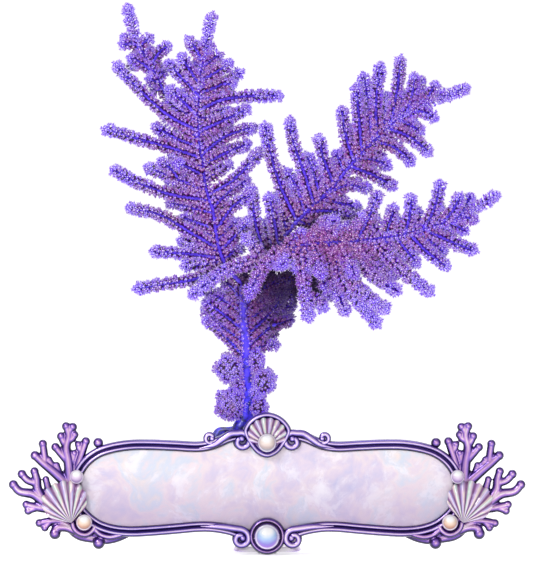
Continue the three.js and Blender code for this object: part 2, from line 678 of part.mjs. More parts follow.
function addPiece(name, piece, material) {
  const { vertProperties, triVerts } = piece.getMesh();
  const geometry = new THREE.BufferGeometry();
  geometry.setAttribute("position", new THREE.BufferAttribute(vertProperties, 3));
  geometry.setIndex(new THREE.BufferAttribute(triVerts, 1));
  geometry.computeVertexNormals();
  const mesh = new THREE.Mesh(geometry, new THREE.MeshStandardMaterial(materials[material]));
  mesh.name = name;
  object.add(mesh);
}

// Stand
const frame = frameSolid();
const frameRoom = swollen(frame);
addPiece("plinth", plinthSolid(), "plinth");
addPiece("plaque_frame", frame, "casting");
addPiece("name_panel", panelSolid(), "nacre");

const seatFront = MEDALLION_FRONT - GAP;
const topPearl = pearlSolid(PEARLS.top, seatFront);
addPiece("top_pearl", topPearl, "pearl");
addPiece("bottom_pearl", pearlSolid(PEARLS.bottom, seatFront), "pearl");
const topScallop = scallopSolid(SHELLS.top, seatFront).subtract(swollen(topPearl));
addPiece("top_shell", topScallop.subtract(swollen(archSolid())), "nacre");
for (const [hand, side] of [["left", 1], ["right", -1]]) {
  const upper = pearlSolid(PEARLS.upper, seatFront, side);
  const lower = pearlSolid(PEARLS.lower, seatFront, side);
  const scallop = scallopSolid(SHELLS.side, seatFront, side);
  addPiece(hand + "_coral_sprigs", largest(sprigSolid(side).subtract(frameRoom)), "casting");
  addPiece(hand + "_shell", scallop.subtract(swollen(upper)).subtract(swollen(lower)), "nacre");
  addPiece(hand + "_upper_pearl", upper, "pearl");
  addPiece(hand + "_lower_pearl", lower, "pearl");
}

// Sea fan: each frond gives way to the ones before it where they meet
const grown = [
  ["trunk_and_holdfast", trunkSolid],
  ["right_frond", (grow) => frondSolid(RIGHT_FROND, grow)],
  ["middle_frond", (grow) => frondSolid(MIDDLE_FROND, grow)],
  ["tall_frond", (grow) => frondSolid(TALL_FROND, grow)],
  ["back_plume", (grow) => frondSolid(BACK_PLUME, grow)],
];
grown.forEach(([name, make], i) => {
  const before = grown.slice(0, i).map(([, other]) => other(GAP));
  addPiece(name, largest(before.reduce((whole, other) => whole.subtract(other), make(0))), "coral");
});
object.updateMatrixWorld();

export default object;
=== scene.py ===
# %% [markdown]
# A frilly sea fan stands behind an ornate cast plaque, and the plaque with its plinth is its stand.
# The imported solids are loaded first. They are fixed and in metres, and every piece below is laid
# over one of them.

import bpy
import numpy as np
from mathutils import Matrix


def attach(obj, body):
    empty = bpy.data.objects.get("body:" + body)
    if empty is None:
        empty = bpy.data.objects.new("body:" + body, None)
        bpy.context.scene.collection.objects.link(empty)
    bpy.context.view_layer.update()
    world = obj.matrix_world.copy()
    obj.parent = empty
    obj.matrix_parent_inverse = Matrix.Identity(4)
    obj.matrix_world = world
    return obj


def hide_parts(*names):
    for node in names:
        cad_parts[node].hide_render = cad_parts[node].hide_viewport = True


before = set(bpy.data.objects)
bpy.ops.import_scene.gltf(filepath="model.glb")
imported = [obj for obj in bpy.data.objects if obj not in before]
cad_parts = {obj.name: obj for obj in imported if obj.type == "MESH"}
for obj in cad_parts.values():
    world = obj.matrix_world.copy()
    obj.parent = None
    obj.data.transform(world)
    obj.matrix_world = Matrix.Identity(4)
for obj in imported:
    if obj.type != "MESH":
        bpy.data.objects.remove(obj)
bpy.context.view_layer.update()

# %% [markdown]
# All shapes start from a front view that was traced. Its x counts from the plaque's middle
# line, its y counts downwards, and a third number is a depth in millimetres behind the plaque's own
# middle. One helper turns such points into metres, so a route reads like a drawing.

# %% From the traced front view to metres
MM = 0.001
TRACE_STEP = 0.58 * MM
TRACE_MIDDLE = 267.1
TRACE_GROUND = 554.3
PLAQUE_Y = -40 * MM
FRONT = np.array([0.0, -1.0, 0.0])
rng = np.random.default_rng(11)


def place(points, depth=0.0, side=1):
    """Metres from traced points. x and z are a step times the distance from the middle line and
    from the ground, and y is the plaque's place plus the depth. Side -1 mirrors left to right."""
    points = np.atleast_2d(np.asarray(points, float))
    back = points[:, 2] if points.shape[1] > 2 else np.full(len(points), float(depth))
    return np.column_stack([
        (points[:, 0] - TRACE_MIDDLE) * TRACE_STEP * side,
        PLAQUE_Y + back * MM,
        (TRACE_GROUND - points[:, 1]) * TRACE_STEP,
    ])


# %% [markdown]
# A stem or a moulding follows a smooth curve through a few chosen points. A Catmull-Rom curve is
# easy to draw with, because it passes through its points. The centripetal kind is used here, as it
# never loops where two points are close. It is then cut into even steps.

# %% Smooth routes and their frames
def unit(vectors):
    """Vectors divided by their lengths."""
    return vectors / np.maximum(np.linalg.norm(vectors, axis=-1, keepdims=True), 1e-12)


def smooth_route(points, step, closed=False):
    """Cubic pieces between neighbouring points. The slope at a point blends the chords before and
    after it, each weighted by the square root of its length, and the result has even steps."""
    points = np.asarray(points, float)
    if closed:
        knots = np.vstack([points[-1:], points, points[:2]])
    else:
        knots = np.vstack([2 * points[0] - points[1], points, 2 * points[-1] - points[-2]])
    gap = np.sqrt(np.linalg.norm(np.diff(knots, axis=0), axis=1))
    t = np.linspace(0, 1, 20, endpoint=False)[:, None]
    arcs = []
    for i in range(1, len(knots) - 2):
        before, p, q, after = knots[i - 1:i + 3]
        a, b, c = gap[i - 1:i + 2]
        leave = b * ((p - before) / a - (q - before) / (a + b)) + (q - p)
        reach = b * ((after - q) / c - (after - p) / (b + c)) + (q - p)
        square = 3 * (q - p) - 2 * leave - reach
        cube = 2 * (p - q) + leave + reach
        arcs.append(p + leave * t + square * t**2 + cube * t**3)
    dense = np.vstack([*arcs, knots[-2:-1]])
    run = np.concatenate([[0], np.cumsum(np.linalg.norm(np.diff(dense, axis=0), axis=1))])
    count = max(3, round(run[-1] / step) + 1)
    where = np.linspace(0, run[-1], count, endpoint=not closed)
    return np.column_stack([np.interp(where, run, dense[:, k]) for k in range(3)])


def smooth_profile(points, step):
    """A flat section's points joined by a smooth curve: the same route with nothing in its third
    direction."""
    flat = np.column_stack([np.asarray(points, float), np.zeros(len(points))])
    return smooth_route(flat, step)[:, :2]


def lengths(path):
    """Distance along a path from its start to each of its points."""
    return np.concatenate([[0], np.cumsum(np.linalg.norm(np.diff(path, axis=0), axis=1))])


def frames(path):
    """Along the path, across it in the front view, and towards the front: three unit vectors at
    right angles. The front one is the view's own direction with its part along the path removed."""
    tangent = unit(np.gradient(path, axis=0))
    front = unit(FRONT - (tangent @ FRONT)[:, None] * tangent)
    return tangent, np.cross(front, tangent), front


# %% [markdown]
# Every surface below is a grid of points worked out as one array, and its faces are worked out
# from row and column numbers. Whole arrays keep the script fast enough for thousands of polyps.

# %% Meshes from arrays
def ring_quads(rings, sides):
    """Quads that join ring i to ring i + 1, all the way round."""
    i = np.arange(rings - 1)[:, None] * sides
    k = np.arange(sides)[None]
    n = (k + 1) % sides
    return np.stack([i + k, i + n, i + sides + n, i + sides + k], -1).reshape(-1, 4)


def grid_quads(rows, columns):
    """Quads of an open grid, with points numbered along each row."""
    i = np.arange(rows - 1)[:, None] * columns
    k = np.arange(columns - 1)[None]
    return np.stack([i + k, i + k + 1, i + columns + k + 1, i + columns + k], -1).reshape(-1, 4)


def end_caps(rings, sides):
    """Triangles that close the first and the last ring, each to its own point. The two points are
    numbered after all the rings."""
    k = np.arange(sides)
    n = (k + 1) % sides
    first = rings * sides
    last = first - sides
    return np.vstack([
        np.column_stack([np.full(sides, first), n, k]),
        np.column_stack([np.full(sides, first + 1), last + k, last + n]),
    ])


END_BULGE = 0.35


def tube(path, radius, sides, flat=1.0):
    """Ring i is path point i plus its radius times (cos across + sin front). The ends close in a
    low point, and flat scales the part towards the front."""
    radius = np.broadcast_to(radius, len(path))
    tangent, across, front = frames(path)
    angle = np.linspace(0, 2 * np.pi, sides, endpoint=False)[None, :, None]
    ring = np.cos(angle) * across[:, None] + flat * np.sin(angle) * front[:, None]
    points = path[:, None] + radius[:, None, None] * ring
    root = path[0] - END_BULGE * radius[0] * tangent[0]
    tip = path[-1] + END_BULGE * radius[-1] * tangent[-1]
    points = np.vstack([points.reshape(-1, 3), root, tip])
    return points, ring_quads(len(path), sides), end_caps(len(path), sides)


def round_ends(path, radius):
    """Radius along a path that closes in half circles at both ends."""
    run = lengths(path)
    near = np.minimum(run, run[-1] - run)
    return radius * np.sqrt(np.clip(1 - np.clip(1 - near / np.max(radius), 0, 1) ** 2, 0.02, 1))


def gather(shapes):
    """Several shapes as one. A shape is its points and then its arrays of faces, and the faces of
    each are counted on from the points before it."""
    points, faces, start = [], [], 0
    for shape in shapes:
        points.append(shape[0])
        faces.extend(array + start for array in shape[1:])
        start += len(shape[0])
    return (np.vstack(points), *faces)


def new_piece(name, shape, finish, nodes, fields=None, sharp=None):
    """A mesh object from a shape, which rides on the body and stands for its solids."""
    points, *faces = shape
    faces = [np.asarray(array, np.int32) for array in faces if len(array)]
    sizes = np.concatenate([np.full(len(array), array.shape[1], np.int32) for array in faces])
    mesh = bpy.data.meshes.new(name)
    mesh.vertices.add(len(points))
    mesh.vertices.foreach_set("co", np.asarray(points, np.float32).ravel())
    mesh.loops.add(int(sizes.sum()))
    mesh.loops.foreach_set("vertex_index", np.concatenate([array.ravel() for array in faces]))
    mesh.polygons.add(len(sizes))
    starts = np.concatenate([[0], np.cumsum(sizes)[:-1]]).astype(np.int32)
    mesh.polygons.foreach_set("loop_start", starts)
    mesh.update(calc_edges=True)
    mesh.shade_smooth()
    if sharp:
        mesh.set_sharp_from_angle(angle=np.radians(sharp))
    for field, values in (fields or {}).items():
        mesh.attributes.new(field, "FLOAT", "POINT").data.foreach_set("value", values.astype(np.float32))
    mesh.materials.append(finish)
    made = bpy.data.objects.new(name, mesh)
    bpy.context.scene.collection.objects.link(made)
    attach(made, "root")
    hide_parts(*nodes)
    print(name, "has", int((sizes - 2).sum()), "triangles")


# %% [markdown]
# The photograph looks straight at the plaque, so the camera is level and far off, with a long lens.
# A frame 569 steps high fits between the object's top and the space below it. The floor is pale and
# curves up behind the object, so that no edge or horizon shows.

# %% Camera, floor and light
FRAME_WIDTH = 533
FRAME_HEIGHT = 569
VIEW_DISTANCE = 2.4
SENSOR = 36

scene = bpy.context.scene
camera_data = bpy.data.cameras.new("camera")
camera_data.sensor_width = SENSOR
camera_data.lens = SENSOR * VIEW_DISTANCE / (FRAME_HEIGHT * TRACE_STEP)
camera = bpy.data.objects.new("camera", camera_data)
camera.location = place([[FRAME_WIDTH / 2, FRAME_HEIGHT / 2]], -VIEW_DISTANCE / MM)[0]
camera.rotation_euler = (np.pi / 2, 0, 0)
scene.collection.objects.link(camera)
scene.camera = camera


def sweep_profile(profile, half_width):
    """A profile of y and z carried from left to right: two columns of points."""
    left = np.column_stack([np.full(len(profile), -half_width), profile])
    right = np.column_stack([np.full(len(profile), half_width), profile])
    return np.stack([right, left], 1).reshape(-1, 3), grid_quads(len(profile), 2)


def backdrop(near, bend, radius, top, half_width):
    """A floor that runs back to the bend, turns up in a quarter circle and ends at the top."""
    turn = np.linspace(0, np.pi / 2, 24)
    arc = np.column_stack([bend + radius * np.sin(turn), radius - radius * np.cos(turn)])
    profile = np.vstack([[near, 0.0], arc, [bend + radius, top]])
    points, faces = sweep_profile(profile, half_width)
    mesh = bpy.data.meshes.new("backdrop")
    mesh.from_pydata(points.tolist(), [], faces.tolist())
    mesh.shade_smooth()
    made = bpy.data.objects.new("backdrop", mesh)
    scene.collection.objects.link(made)
    return made


floor = backdrop(near=-4.5, bend=1.2, radius=1.2, top=4.5, half_width=6.0)


LIGHT_AIM = np.array([0.0, 0.0, 0.15])


def aim_turn(direction):
    """Turn about x and then z that points the light's own -z along a direction."""
    x, y, z = direction / np.linalg.norm(direction)
    return (np.arccos(-z), 0, np.arctan2(-x, y))


def area_light(name, location, size, watts):
    """A square soft light that points at the middle of the object."""
    data = bpy.data.lights.new(name, "AREA")
    data.size = size
    data.energy = watts
    made = bpy.data.objects.new(name, data)
    made.location = location
    made.rotation_euler = aim_turn(LIGHT_AIM - np.asarray(location))
    scene.collection.objects.link(made)


area_light("key", location=(-0.75, -1.15, 1.0), size=0.45, watts=12)
area_light("fill", location=(1.1, -1.2, 0.35), size=0.9, watts=1.6)
area_light("top", location=(0.1, 0.35, 1.25), size=0.7, watts=4)

world = bpy.data.worlds.new("studio")
world.use_nodes = True
world.node_tree.nodes["Background"].inputs["Color"].default_value = (1, 1, 1, 1)
world.node_tree.nodes["Background"].inputs["Strength"].default_value = 0.3
scene.world = world
scene.view_settings.view_transform = "Standard"
scene.view_settings.look = "None"

# %% [markdown]
# Colours are written as the six digits that a paint chart uses, and made linear for the shader.
# A few short helpers place shader nodes, so that a finish reads as a list of what it is made of.

# %% Shader helpers
def colour(code, alpha=1.0):
    """Linear light from six hexadecimal digits: the sRGB curve undone channel by channel."""
    channels = np.array([int(code[i:i + 2], 16) for i in (0, 2, 4)]) / 255
    linear = np.where(channels <= 0.04045, channels / 12.92, ((channels + 0.055) / 1.055) ** 2.4)
    return (*linear, alpha)


def node(tree, kind, inputs=None, **settings):
    """A shader node with its settings, and each input linked or given a value."""
    made = tree.nodes.new("ShaderNode" + kind)
    for key, value in settings.items():
        setattr(made, key, value)
    for key, value in (inputs or {}).items():
        if isinstance(value, bpy.types.NodeSocket):
            tree.links.new(value, made.inputs[key])
        else:
            made.inputs[key].default_value = value
    return made


def math(tree, operation, first, second=0.0, third=0.0, clamp=False):
    """One sum, product or other step on numbers."""
    inputs = {0: first, 1: second, 2: third}
    return node(tree, "Math", inputs, operation=operation, use_clamp=clamp).outputs[0]


def ramp(tree, factor, *stops):
    """Colours along a number, each stop a place and a colour code."""
    made = node(tree, "ValToRGB", {"Fac": factor})
    elements = made.color_ramp.elements
    while len(elements) < len(stops):
        elements.new(0.5)
    for element, (where, code) in zip(elements, stops):
        element.position = where
        element.color = colour(code)
    return made.outputs["Color"]


def blend(tree, factor, first, second, mode="MIX"):
    """Two colours mixed by a factor."""
    made = node(tree, "Mix", {0: factor, 6: first, 7: second}, data_type="RGBA", blend_type=mode)
    return made.outputs[2]


def noise(tree, scale, detail=2.0, vector=None, rough=0.5):
    """Smooth random values over the object's own coordinates."""
    if vector is None:
        vector = node(tree, "TexCoord").outputs["Object"]
    made = node(tree, "TexNoise", {"Vector": vector, "Scale": scale, "Detail": detail, "Roughness": rough})
    return made.outputs["Fac"]


def attribute(tree, name):
    """A number that the mesh carries at its points."""
    return node(tree, "Attribute", attribute_name=name).outputs["Fac"]


def coordinate(tree, axis):
    """How far along x, y or z a point of the surface lies, in metres."""
    spot = node(tree, "TexCoord").outputs["Object"]
    return node(tree, "SeparateXYZ", {0: spot}).outputs[axis]


def fade(tree, value, none, full):
    """A straight rise from 0 at one value to 1 at the other, and level beyond them."""
    inputs = {"Value": value, "From Min": none, "From Max": full}
    return node(tree, "MapRange", inputs).outputs[0]


def finish(name, **constants):
    """A new material and its shader, with the values that stay the same all over."""
    made = bpy.data.materials.new(name)
    made.use_nodes = True
    shader = made.node_tree.nodes["Principled BSDF"]
    for key, value in constants.items():
        shader.inputs[key.replace("_", " ")].default_value = value
    return made, made.node_tree, shader


def paint(tree, shader, base):
    """The colour of a surface, and of its glow where its finish has one. On the fan the glow is painted
    light that lifts the shade, and on the floor it keeps the floor evenly bright.
    """
    tree.links.new(base, shader.inputs["Base Color"])
    if shader.inputs["Emission Strength"].default_value > 0:
        tree.links.new(base, shader.inputs["Emission Color"])


def bump(tree, shader, height, strength, distance):
    """Fine relief that the mesh doesn't carry."""
    inputs = {"Height": height, "Strength": strength, "Distance": distance}
    tree.links.new(node(tree, "Bump", inputs).outputs["Normal"], shader.inputs["Normal"])


def facing_group():
    """Front is how far a surface faces forwards or backwards, Rise how far it faces upwards."""
    group = bpy.data.node_groups.new("facing", "ShaderNodeTree")
    group.interface.new_socket("Front", in_out="OUTPUT", socket_type="NodeSocketFloat")
    group.interface.new_socket("Rise", in_out="OUTPUT", socket_type="NodeSocketFloat")
    out = group.nodes.new("NodeGroupOutput")
    parts = node(group, "SeparateXYZ", {0: node(group, "NewGeometry").outputs["Normal"]}).outputs
    group.links.new(math(group, "ABSOLUTE", parts["Y"]), out.inputs["Front"])
    group.links.new(math(group, "MULTIPLY_ADD", parts["Z"], 0.5, 0.5), out.inputs["Rise"])
    return group


FACING = facing_group()


def facing(tree):
    """The facing group placed in a material: its two masks."""
    made = tree.nodes.new("ShaderNodeGroup")
    made.node_tree = FACING
    return made.outputs["Front"], made.outputs["Rise"]


paper, paper_tree, paper_shader = finish("pale floor", Roughness=0.9, Emission_Strength=0.62)
paper_grain = ramp(paper_tree, noise(paper_tree, 3.0), (0.3, "F4F2F7"), (0.7, "FAF9FB"))
paint(paper_tree, paper_shader, paper_grain)
floor.data.materials.append(paper)

# %% [markdown]
# The fan is traced as five parts that fork from one trunk. Each part has a stem, whose points carry
# their depth, and branchlets that start on the stem and lean back or forth by their first number.
# The same points are used for the solids, so the fine surface lies where they do.

# %% Traced routes of the sea fan
TRUNK = {
    "fill": 0.85,
    "stem": [
        [238, 436, 17], [246, 418, 17], [248, 400, 16], [248, 386, 16], [246, 368, 15], [246, 350, 14],
        [245, 333, 13], [243, 316, 12], [243, 300, 10], [241, 284, 8],
    ],
    # Short curled branchlets that read as tufts: centre, then half width, half depth and half height
    "tufts": [
        [[230.5, 369], [9.4, 6.5, 9]], [[256, 362], [5.4, 5, 7.4]], [[264, 382], [7.4, 6, 8.6]],
        [[231, 405], [9.6, 6.5, 9.4]], [[258.5, 406], [5.8, 5, 6.4]], [[239, 387], [4.4, 4.5, 4.8]],
        [[254.5, 393], [4.4, 4.5, 5.2]],
    ],
    "branchlets": [
        [9, [244, 357], [222, 334], [201, 317]],
        [13, [244, 342], [220, 325], [200, 307]],
        [7, [243, 330], [220, 312], [201, 299]],
        [12, [243, 313], [225, 301], [203, 290]],
        [6, [242, 302], [233, 289], [221, 279]],
        [9, [249, 352], [262, 347], [281, 345]],
        [14, [248, 346], [271, 327], [293, 311]],
        [14, [272, 326], [284, 322], [294, 319]],
        [8, [247, 335], [266, 318], [286, 292]],
        [15, [246, 324], [256, 310], [272, 285]],
        [10, [244, 310], [268, 298], [291, 289]],
        [16, [243, 302], [258, 286], [270, 270]],
        [14, [248, 307], [275, 294], [300, 296]],
        [18, [243, 298], [290, 277], [332, 283]],
        [19, [246, 302], [282, 289], [324, 294]],
        [11, [244, 301], [243, 285], [246, 264]],
        [17, [247, 299], [286, 281], [328, 284]],
        [17, [243, 296], [267, 272], [284, 258]],
        [16, [246, 304], [272, 284], [297, 270]],
        [15, [246, 321], [272, 307], [298, 307]],
    ],
}

TALL_FROND = {
    "stem": [
        [242, 284, 8], [233, 275, 8], [226, 266, 8], [218, 245, 9], [213, 212, 10], [206, 190, 11],
        [202, 160, 12], [198, 132, 12], [199, 90, 13], [203, 55, 14], [207, 34, 14], [212, 14, 14],
    ],
    "branchlets": [
        [-5, [224, 267], [195, 279], [165, 284], [131, 290]],
        [1, [220, 258], [190, 254], [148, 251]],
        [-3, [217, 248], [190, 232], [160, 215], [124, 207]],
        [4, [213, 228], [196, 222], [177, 216]],
        [-2, [208, 200], [170, 194], [135, 181], [109, 167]],
        [5, [213, 213], [190, 207], [164, 201]],
        [3, [205, 190], [178, 179], [142, 165]],
        [-3, [178, 178], [170, 168], [156, 158]],
        [-5, [203, 175], [190, 168], [171, 161]],
        [-1, [200, 157], [170, 147], [140, 139], [100, 127]],
        [4, [198, 146], [172, 136], [150, 123]],
        [-4, [197, 130], [167, 114], [138, 88], [112, 61]],
        [-1, [198, 116], [182, 100], [165, 85]],
        [2, [199, 95], [182, 77], [164, 58]],
        [-3, [200, 85], [190, 70], [178, 51]],
        [3, [202, 66], [192, 59]],
        [-2, [202, 60], [195, 47], [185, 34]],
        [-1, [205, 45], [216, 45]],
        [2, [201, 68], [212, 58], [224, 52]],
        [-3, [200, 80], [216, 71], [234, 59]],
        [3, [200, 92], [222, 83], [244, 68]],
        [-2, [222, 83], [230, 83], [238, 82]],
        [-1, [201, 108], [222, 99], [255, 95], [285, 95]],
        [-3, [200, 130], [225, 119], [252, 106]],
        [5, [202, 134], [214, 129], [234, 122]],
        [0, [200, 155], [225, 136], [259, 125]],
        [4, [205, 163], [228, 151], [253, 141]],
        [-2, [208, 195], [235, 178], [263, 147]],
        [3, [212, 208], [230, 190], [251, 177]],
        [-3, [217, 229], [232, 207], [256, 191]],
        [3, [218, 240], [229, 228], [242, 218]],
        [-2, [220, 250], [238, 233], [253, 217]],
        [2, [224, 260], [233, 252], [244, 243]],
    ],
}

BACK_PLUME = {
    "stem": [
        [198, 137, 13], [184, 118, 19], [168, 99, 23], [158, 79, 25], [147, 60, 26], [138, 42, 26],
        [131, 24, 26], [126, 5, 26],
    ],
    "branchlets": [
        [2, [140, 46], [130, 40], [118, 32]],
        [-2, [131, 41], [124, 42], [116, 40]],
        [-2, [139, 43], [146, 37], [153, 32]],
        [2, [150, 62], [160, 48], [172, 41]],
        [-3, [150, 68], [139, 60], [125, 54]],
        [3, [143, 63], [134, 62], [125, 64]],
        [-2, [158, 80], [150, 78], [143, 77]],
        [2, [161, 86], [154, 88], [148, 86]],
        [3, [157, 75], [166, 66]],
    ],
}

MIDDLE_FROND = {
    "stem": [
        [247, 304, 8], [254, 286, 6], [263, 269, 4], [276, 248, 3], [303, 215, 2], [330, 190, 2],
        [350, 166, 2], [372, 143, 3], [398, 119, 3], [428, 102, 4], [467, 88, 4],
    ],
    "branchlets": [
        [5, [268, 259], [256, 226], [252, 183]],
        [-2, [278, 245], [275, 225], [268, 191]],
        [1, [297, 221], [281, 187], [271, 155], [264, 120]],
        [5, [305, 212], [297, 188], [284, 166]],
        [-2, [314, 205], [304, 172], [292, 138], [290, 115]],
        [3, [321, 198], [313, 172], [305, 150]],
        [-1, [334, 185], [323, 156], [318, 132]],
        [5, [345, 172], [334, 149]],
        [2, [354, 162], [346, 135], [341, 104]],
        [-3, [362, 153], [359, 120], [356, 82]],
        [2, [372, 143], [369, 105], [362, 70]],
        [-1, [377, 138], [376, 105], [381, 60]],
        [3, [391, 125], [397, 92], [402, 53]],
        [-2, [407, 113], [413, 90], [415, 71]],
        [3, [413, 109], [418, 91], [423, 75]],
        [-1, [424, 104], [431, 92], [438, 80]],
        [-2, [411, 111], [424, 112], [439, 121]],
        [3, [398, 119], [411, 125], [425, 134]],
        [-1, [389, 128], [412, 138], [433, 156]],
        [2, [374, 141], [394, 147], [416, 166]],
        [5, [358, 157], [375, 160], [393, 168]],
        [-2, [350, 166], [373, 175], [398, 189]],
        [1, [328, 192], [350, 185], [373, 190]],
        [6, [320, 199], [340, 203], [363, 208]],
        [-1, [306, 212], [328, 211], [359, 219]],
        [4, [298, 222], [312, 225], [326, 228]],
    ],
}

RIGHT_FROND = {
    "stem": [
        [243, 303, 9], [248, 288, 2], [256, 274, -4], [267, 261, -8], [290, 248, -12],
        [320, 243, -15], [355, 241, -16], [400, 235, -16], [440, 224, -15], [470, 211, -14],
        [495, 196, -13],
    ],
    "branchlets": [
        [-2, [355, 243], [366, 222], [379, 190]],
        [3, [385, 238], [390, 220], [394, 203]],
        [-1, [404, 235], [409, 214], [410, 192]],
        [2, [422, 230], [434, 207], [440, 179]],
        [-2, [441, 224], [452, 210], [461, 192]],
        [3, [459, 217], [465, 206], [471, 192]],
        [-2, [461, 215], [469, 219], [478, 222]],
        [3, [448, 222], [458, 227], [468, 235]],
        [-1, [424, 230], [450, 242], [478, 253]],
        [4, [418, 232], [432, 244], [447, 255]],
        [-3, [408, 234], [426, 252], [450, 270]],
        [2, [394, 236], [405, 250], [419, 268]],
        [-1, [370, 240], [400, 269], [433, 295]],
        [6, [355, 242], [376, 266], [399, 278]],
        [2, [350, 242], [370, 274], [401, 293]],
        [-2, [340, 242], [352, 280], [389, 313]],
        [3, [333, 243], [343, 280], [380, 328]],
        [-9, [339, 242], [348, 262], [356, 279]],
        [-9, [312, 244], [318, 262], [322, 280]],
        [-3, [301, 246], [304, 285], [309, 323]],
        [-1, [306, 297], [315, 300], [327, 312]],
        [7, [327, 243], [334, 283], [348, 317]],
        [10, [318, 243], [322, 278], [331, 301]],
        [-13, [283, 250], [264, 266], [247, 299]],
        [-11, [285, 249], [283, 259], [281, 270]],
        [-4, [270, 258], [228, 270], [188, 298]],
        [-3, [264, 262], [252, 243], [242, 234]],
        [1, [294, 247], [312, 236], [328, 226]],
        [3, [316, 243], [336, 234], [352, 223]],
        [0, [338, 242], [354, 230], [366, 211]],
        [2, [318, 241], [328, 229], [339, 215]],
        [1, [306, 245], [318, 231], [328, 216]],
        [-1, [282, 251], [294, 240], [307, 229]],
    ],
}


# %% [markdown]
# Under the polyps each stem and branchlet is a smooth violet-blue strand that narrows towards its
# end. It could be one skin over a skeleton, but separate round tubes that start inside their stem
# look the same, keep the forks crisp and need no remeshing.

# %% Strands
def nearest_depth(stem, point):
    """Depth in mm of the stem's curve where it passes closest to a traced point."""
    curve = smooth_route(stem, 1.5)
    away = np.hypot(curve[:, 0] - point[0], curve[:, 1] - point[1])
    return curve[np.argmin(away), 2]


def branchlet_points(stem, branchlet):
    """A branchlet's places: its depth starts as its stem's, and grows by the lean times the
    part of the route that is done, to the power 0.8."""
    lean, *route = branchlet
    root = nearest_depth(stem, route[0])
    done = np.arange(len(route)) / (len(route) - 1)
    return place([[x, y, root + lean * part**0.8] for (x, y), part in zip(route, done)])


# In traced steps: how near the stem a branchlet starts, how much of the mean way a short one goes
# and the shortest that is made. The lean is in mm.
ON_STEM = 5.0
FILL_SHARE = 0.55
SHORTEST_FILL = 9.0
FILL_LEAN = 4.0


def between(frond):
    """Short branchlets in the gaps: each starts midway between two neighbours on the same side of
    the stem and goes part of their mean way. It leans back, so that it lies behind them."""
    stem = smooth_route([[x, y, 0] for x, y, _ in frond["stem"]], 1.0)
    ahead = np.gradient(stem, axis=0)
    sides = {1: [], -1: []}
    for lean, *route in frond["branchlets"]:
        root, tip = np.array(route[0]), np.array(route[-1])
        away = np.hypot(stem[:, 0] - root[0], stem[:, 1] - root[1])
        at = int(np.argmin(away))
        if away[at] < ON_STEM:
            way = tip - root
            hand = 1 if ahead[at, 0] * way[1] - ahead[at, 1] * way[0] > 0 else -1
            sides[hand].append((at, lean, way))
    found = []
    for neighbours in sides.values():
        neighbours.sort(key=lambda item: item[0])
        for (at, lean, way), (next_at, next_lean, next_way) in zip(neighbours, neighbours[1:]):
            root = stem[(at + next_at) // 2, :2]
            reach = frond.get("fill", FILL_SHARE) * (way + next_way) / 2
            if np.hypot(*reach) > SHORTEST_FILL:
                middle = root + 0.5 * reach
                tip = root + reach
                found.append([(lean + next_lean) / 2 + FILL_LEAN, list(root), list(middle), list(tip)])
    return found


STRAND_STEP = 1.4 * MM
BRANCHLET_RADIUS = (1.35, 0.7)


def strands(frond, stem_from, stem_to):
    """Paths of a frond with the radius of each: the stem, then its branchlets, then the short ones
    between them. Branchlets end two steps early, so that the rosette reaches the traced end. The
    count says how many were drawn."""
    stem = smooth_route(place(frond["stem"]), STRAND_STEP)
    paths = [(stem, np.linspace(stem_from, stem_to, len(stem)))]
    for branchlet in frond["branchlets"] + between(frond):
        path = smooth_route(branchlet_points(frond["stem"], branchlet), STRAND_STEP)[:-2]
        paths.append((path, np.linspace(*BRANCHLET_RADIUS, len(path)) * MM))
    return paths, 1 + len(frond["branchlets"])


def strand_shape(path, radius, sides=7):
    """A tube whose radius swells and sinks a little at random, as the living bark does."""
    lumps = rng.normal(0, 0.05, len(path))
    lumps = np.convolve(lumps, [0.25, 0.5, 0.25], "same")
    return tube(path, round_ends(path, radius * (1 + lumps)), sides)


RIND_WIDTH = 2.9 * MM
RIND_BACK = 1.0 * MM


def rind_shape(path):
    """The darker, flatter flesh just behind a strand, from which the polyps stand out."""
    _, _, front = frames(path)
    middle = (path - RIND_BACK * front)[:-1]
    return tube(middle, round_ends(middle, np.full(len(middle), RIND_WIDTH)), 6, flat=0.42)


def bark_piece(name, paths, node_name, stem_sides=7, others=()):
    """Strands and their rinds as one piece. The rind value is 1 on the rinds and the others, and
    the shade value is higher in the hollows."""
    shapes = [strand_shape(*paths[0], stem_sides)]
    shapes += [strand_shape(path, radius) for path, radius in paths[1:]]
    dark = [rind_shape(path) for path, _ in paths[1:]] + list(others)
    rind = [np.zeros(len(shape[0])) for shape in shapes] + [np.ones(len(shape[0])) for shape in dark]
    shape = gather(shapes + dark)
    fields = {"rind": np.concatenate(rind), "shade": shade(shape[0], -1)[0]}
    new_piece(name, shape, BARK, [node_name], fields)


# %% [markdown]
# A polyp is a short column with a ring of tentacles. The real animal has eight, and six thicker ones
# look the same at this size. There are thousands of polyps, so one has only some thirty triangles:
# each tentacle is a bent wedge of four, closed by itself. Six kinds run from a closed bud to a wide
# open one. The closed ones sit near the stems and the open ones near the ends.

# %% One polyp
TENTACLES = 6
COLUMN_SIDES = 3
# All in mm
TENTACLE_ROOT = {"out": 0.12, "height": 1.55}
TENTACLE_HALF_WIDTH = 0.3
COLUMN_FOOT = 0.3
COLUMN_RIM = {"radius": 0.48, "height": 1.85}
MOUTH_HEIGHT = 2.15
# Reach at a tentacle's root, its two sides and its tip, then at the column's foot, rim and mouth
TENTACLE_REACH = [0.25, 0.5, 0.5, 0.86]
COLUMN_REACH = [0.0, 0.0, 0.0, 0.62, 0.62, 0.62, 1.0]


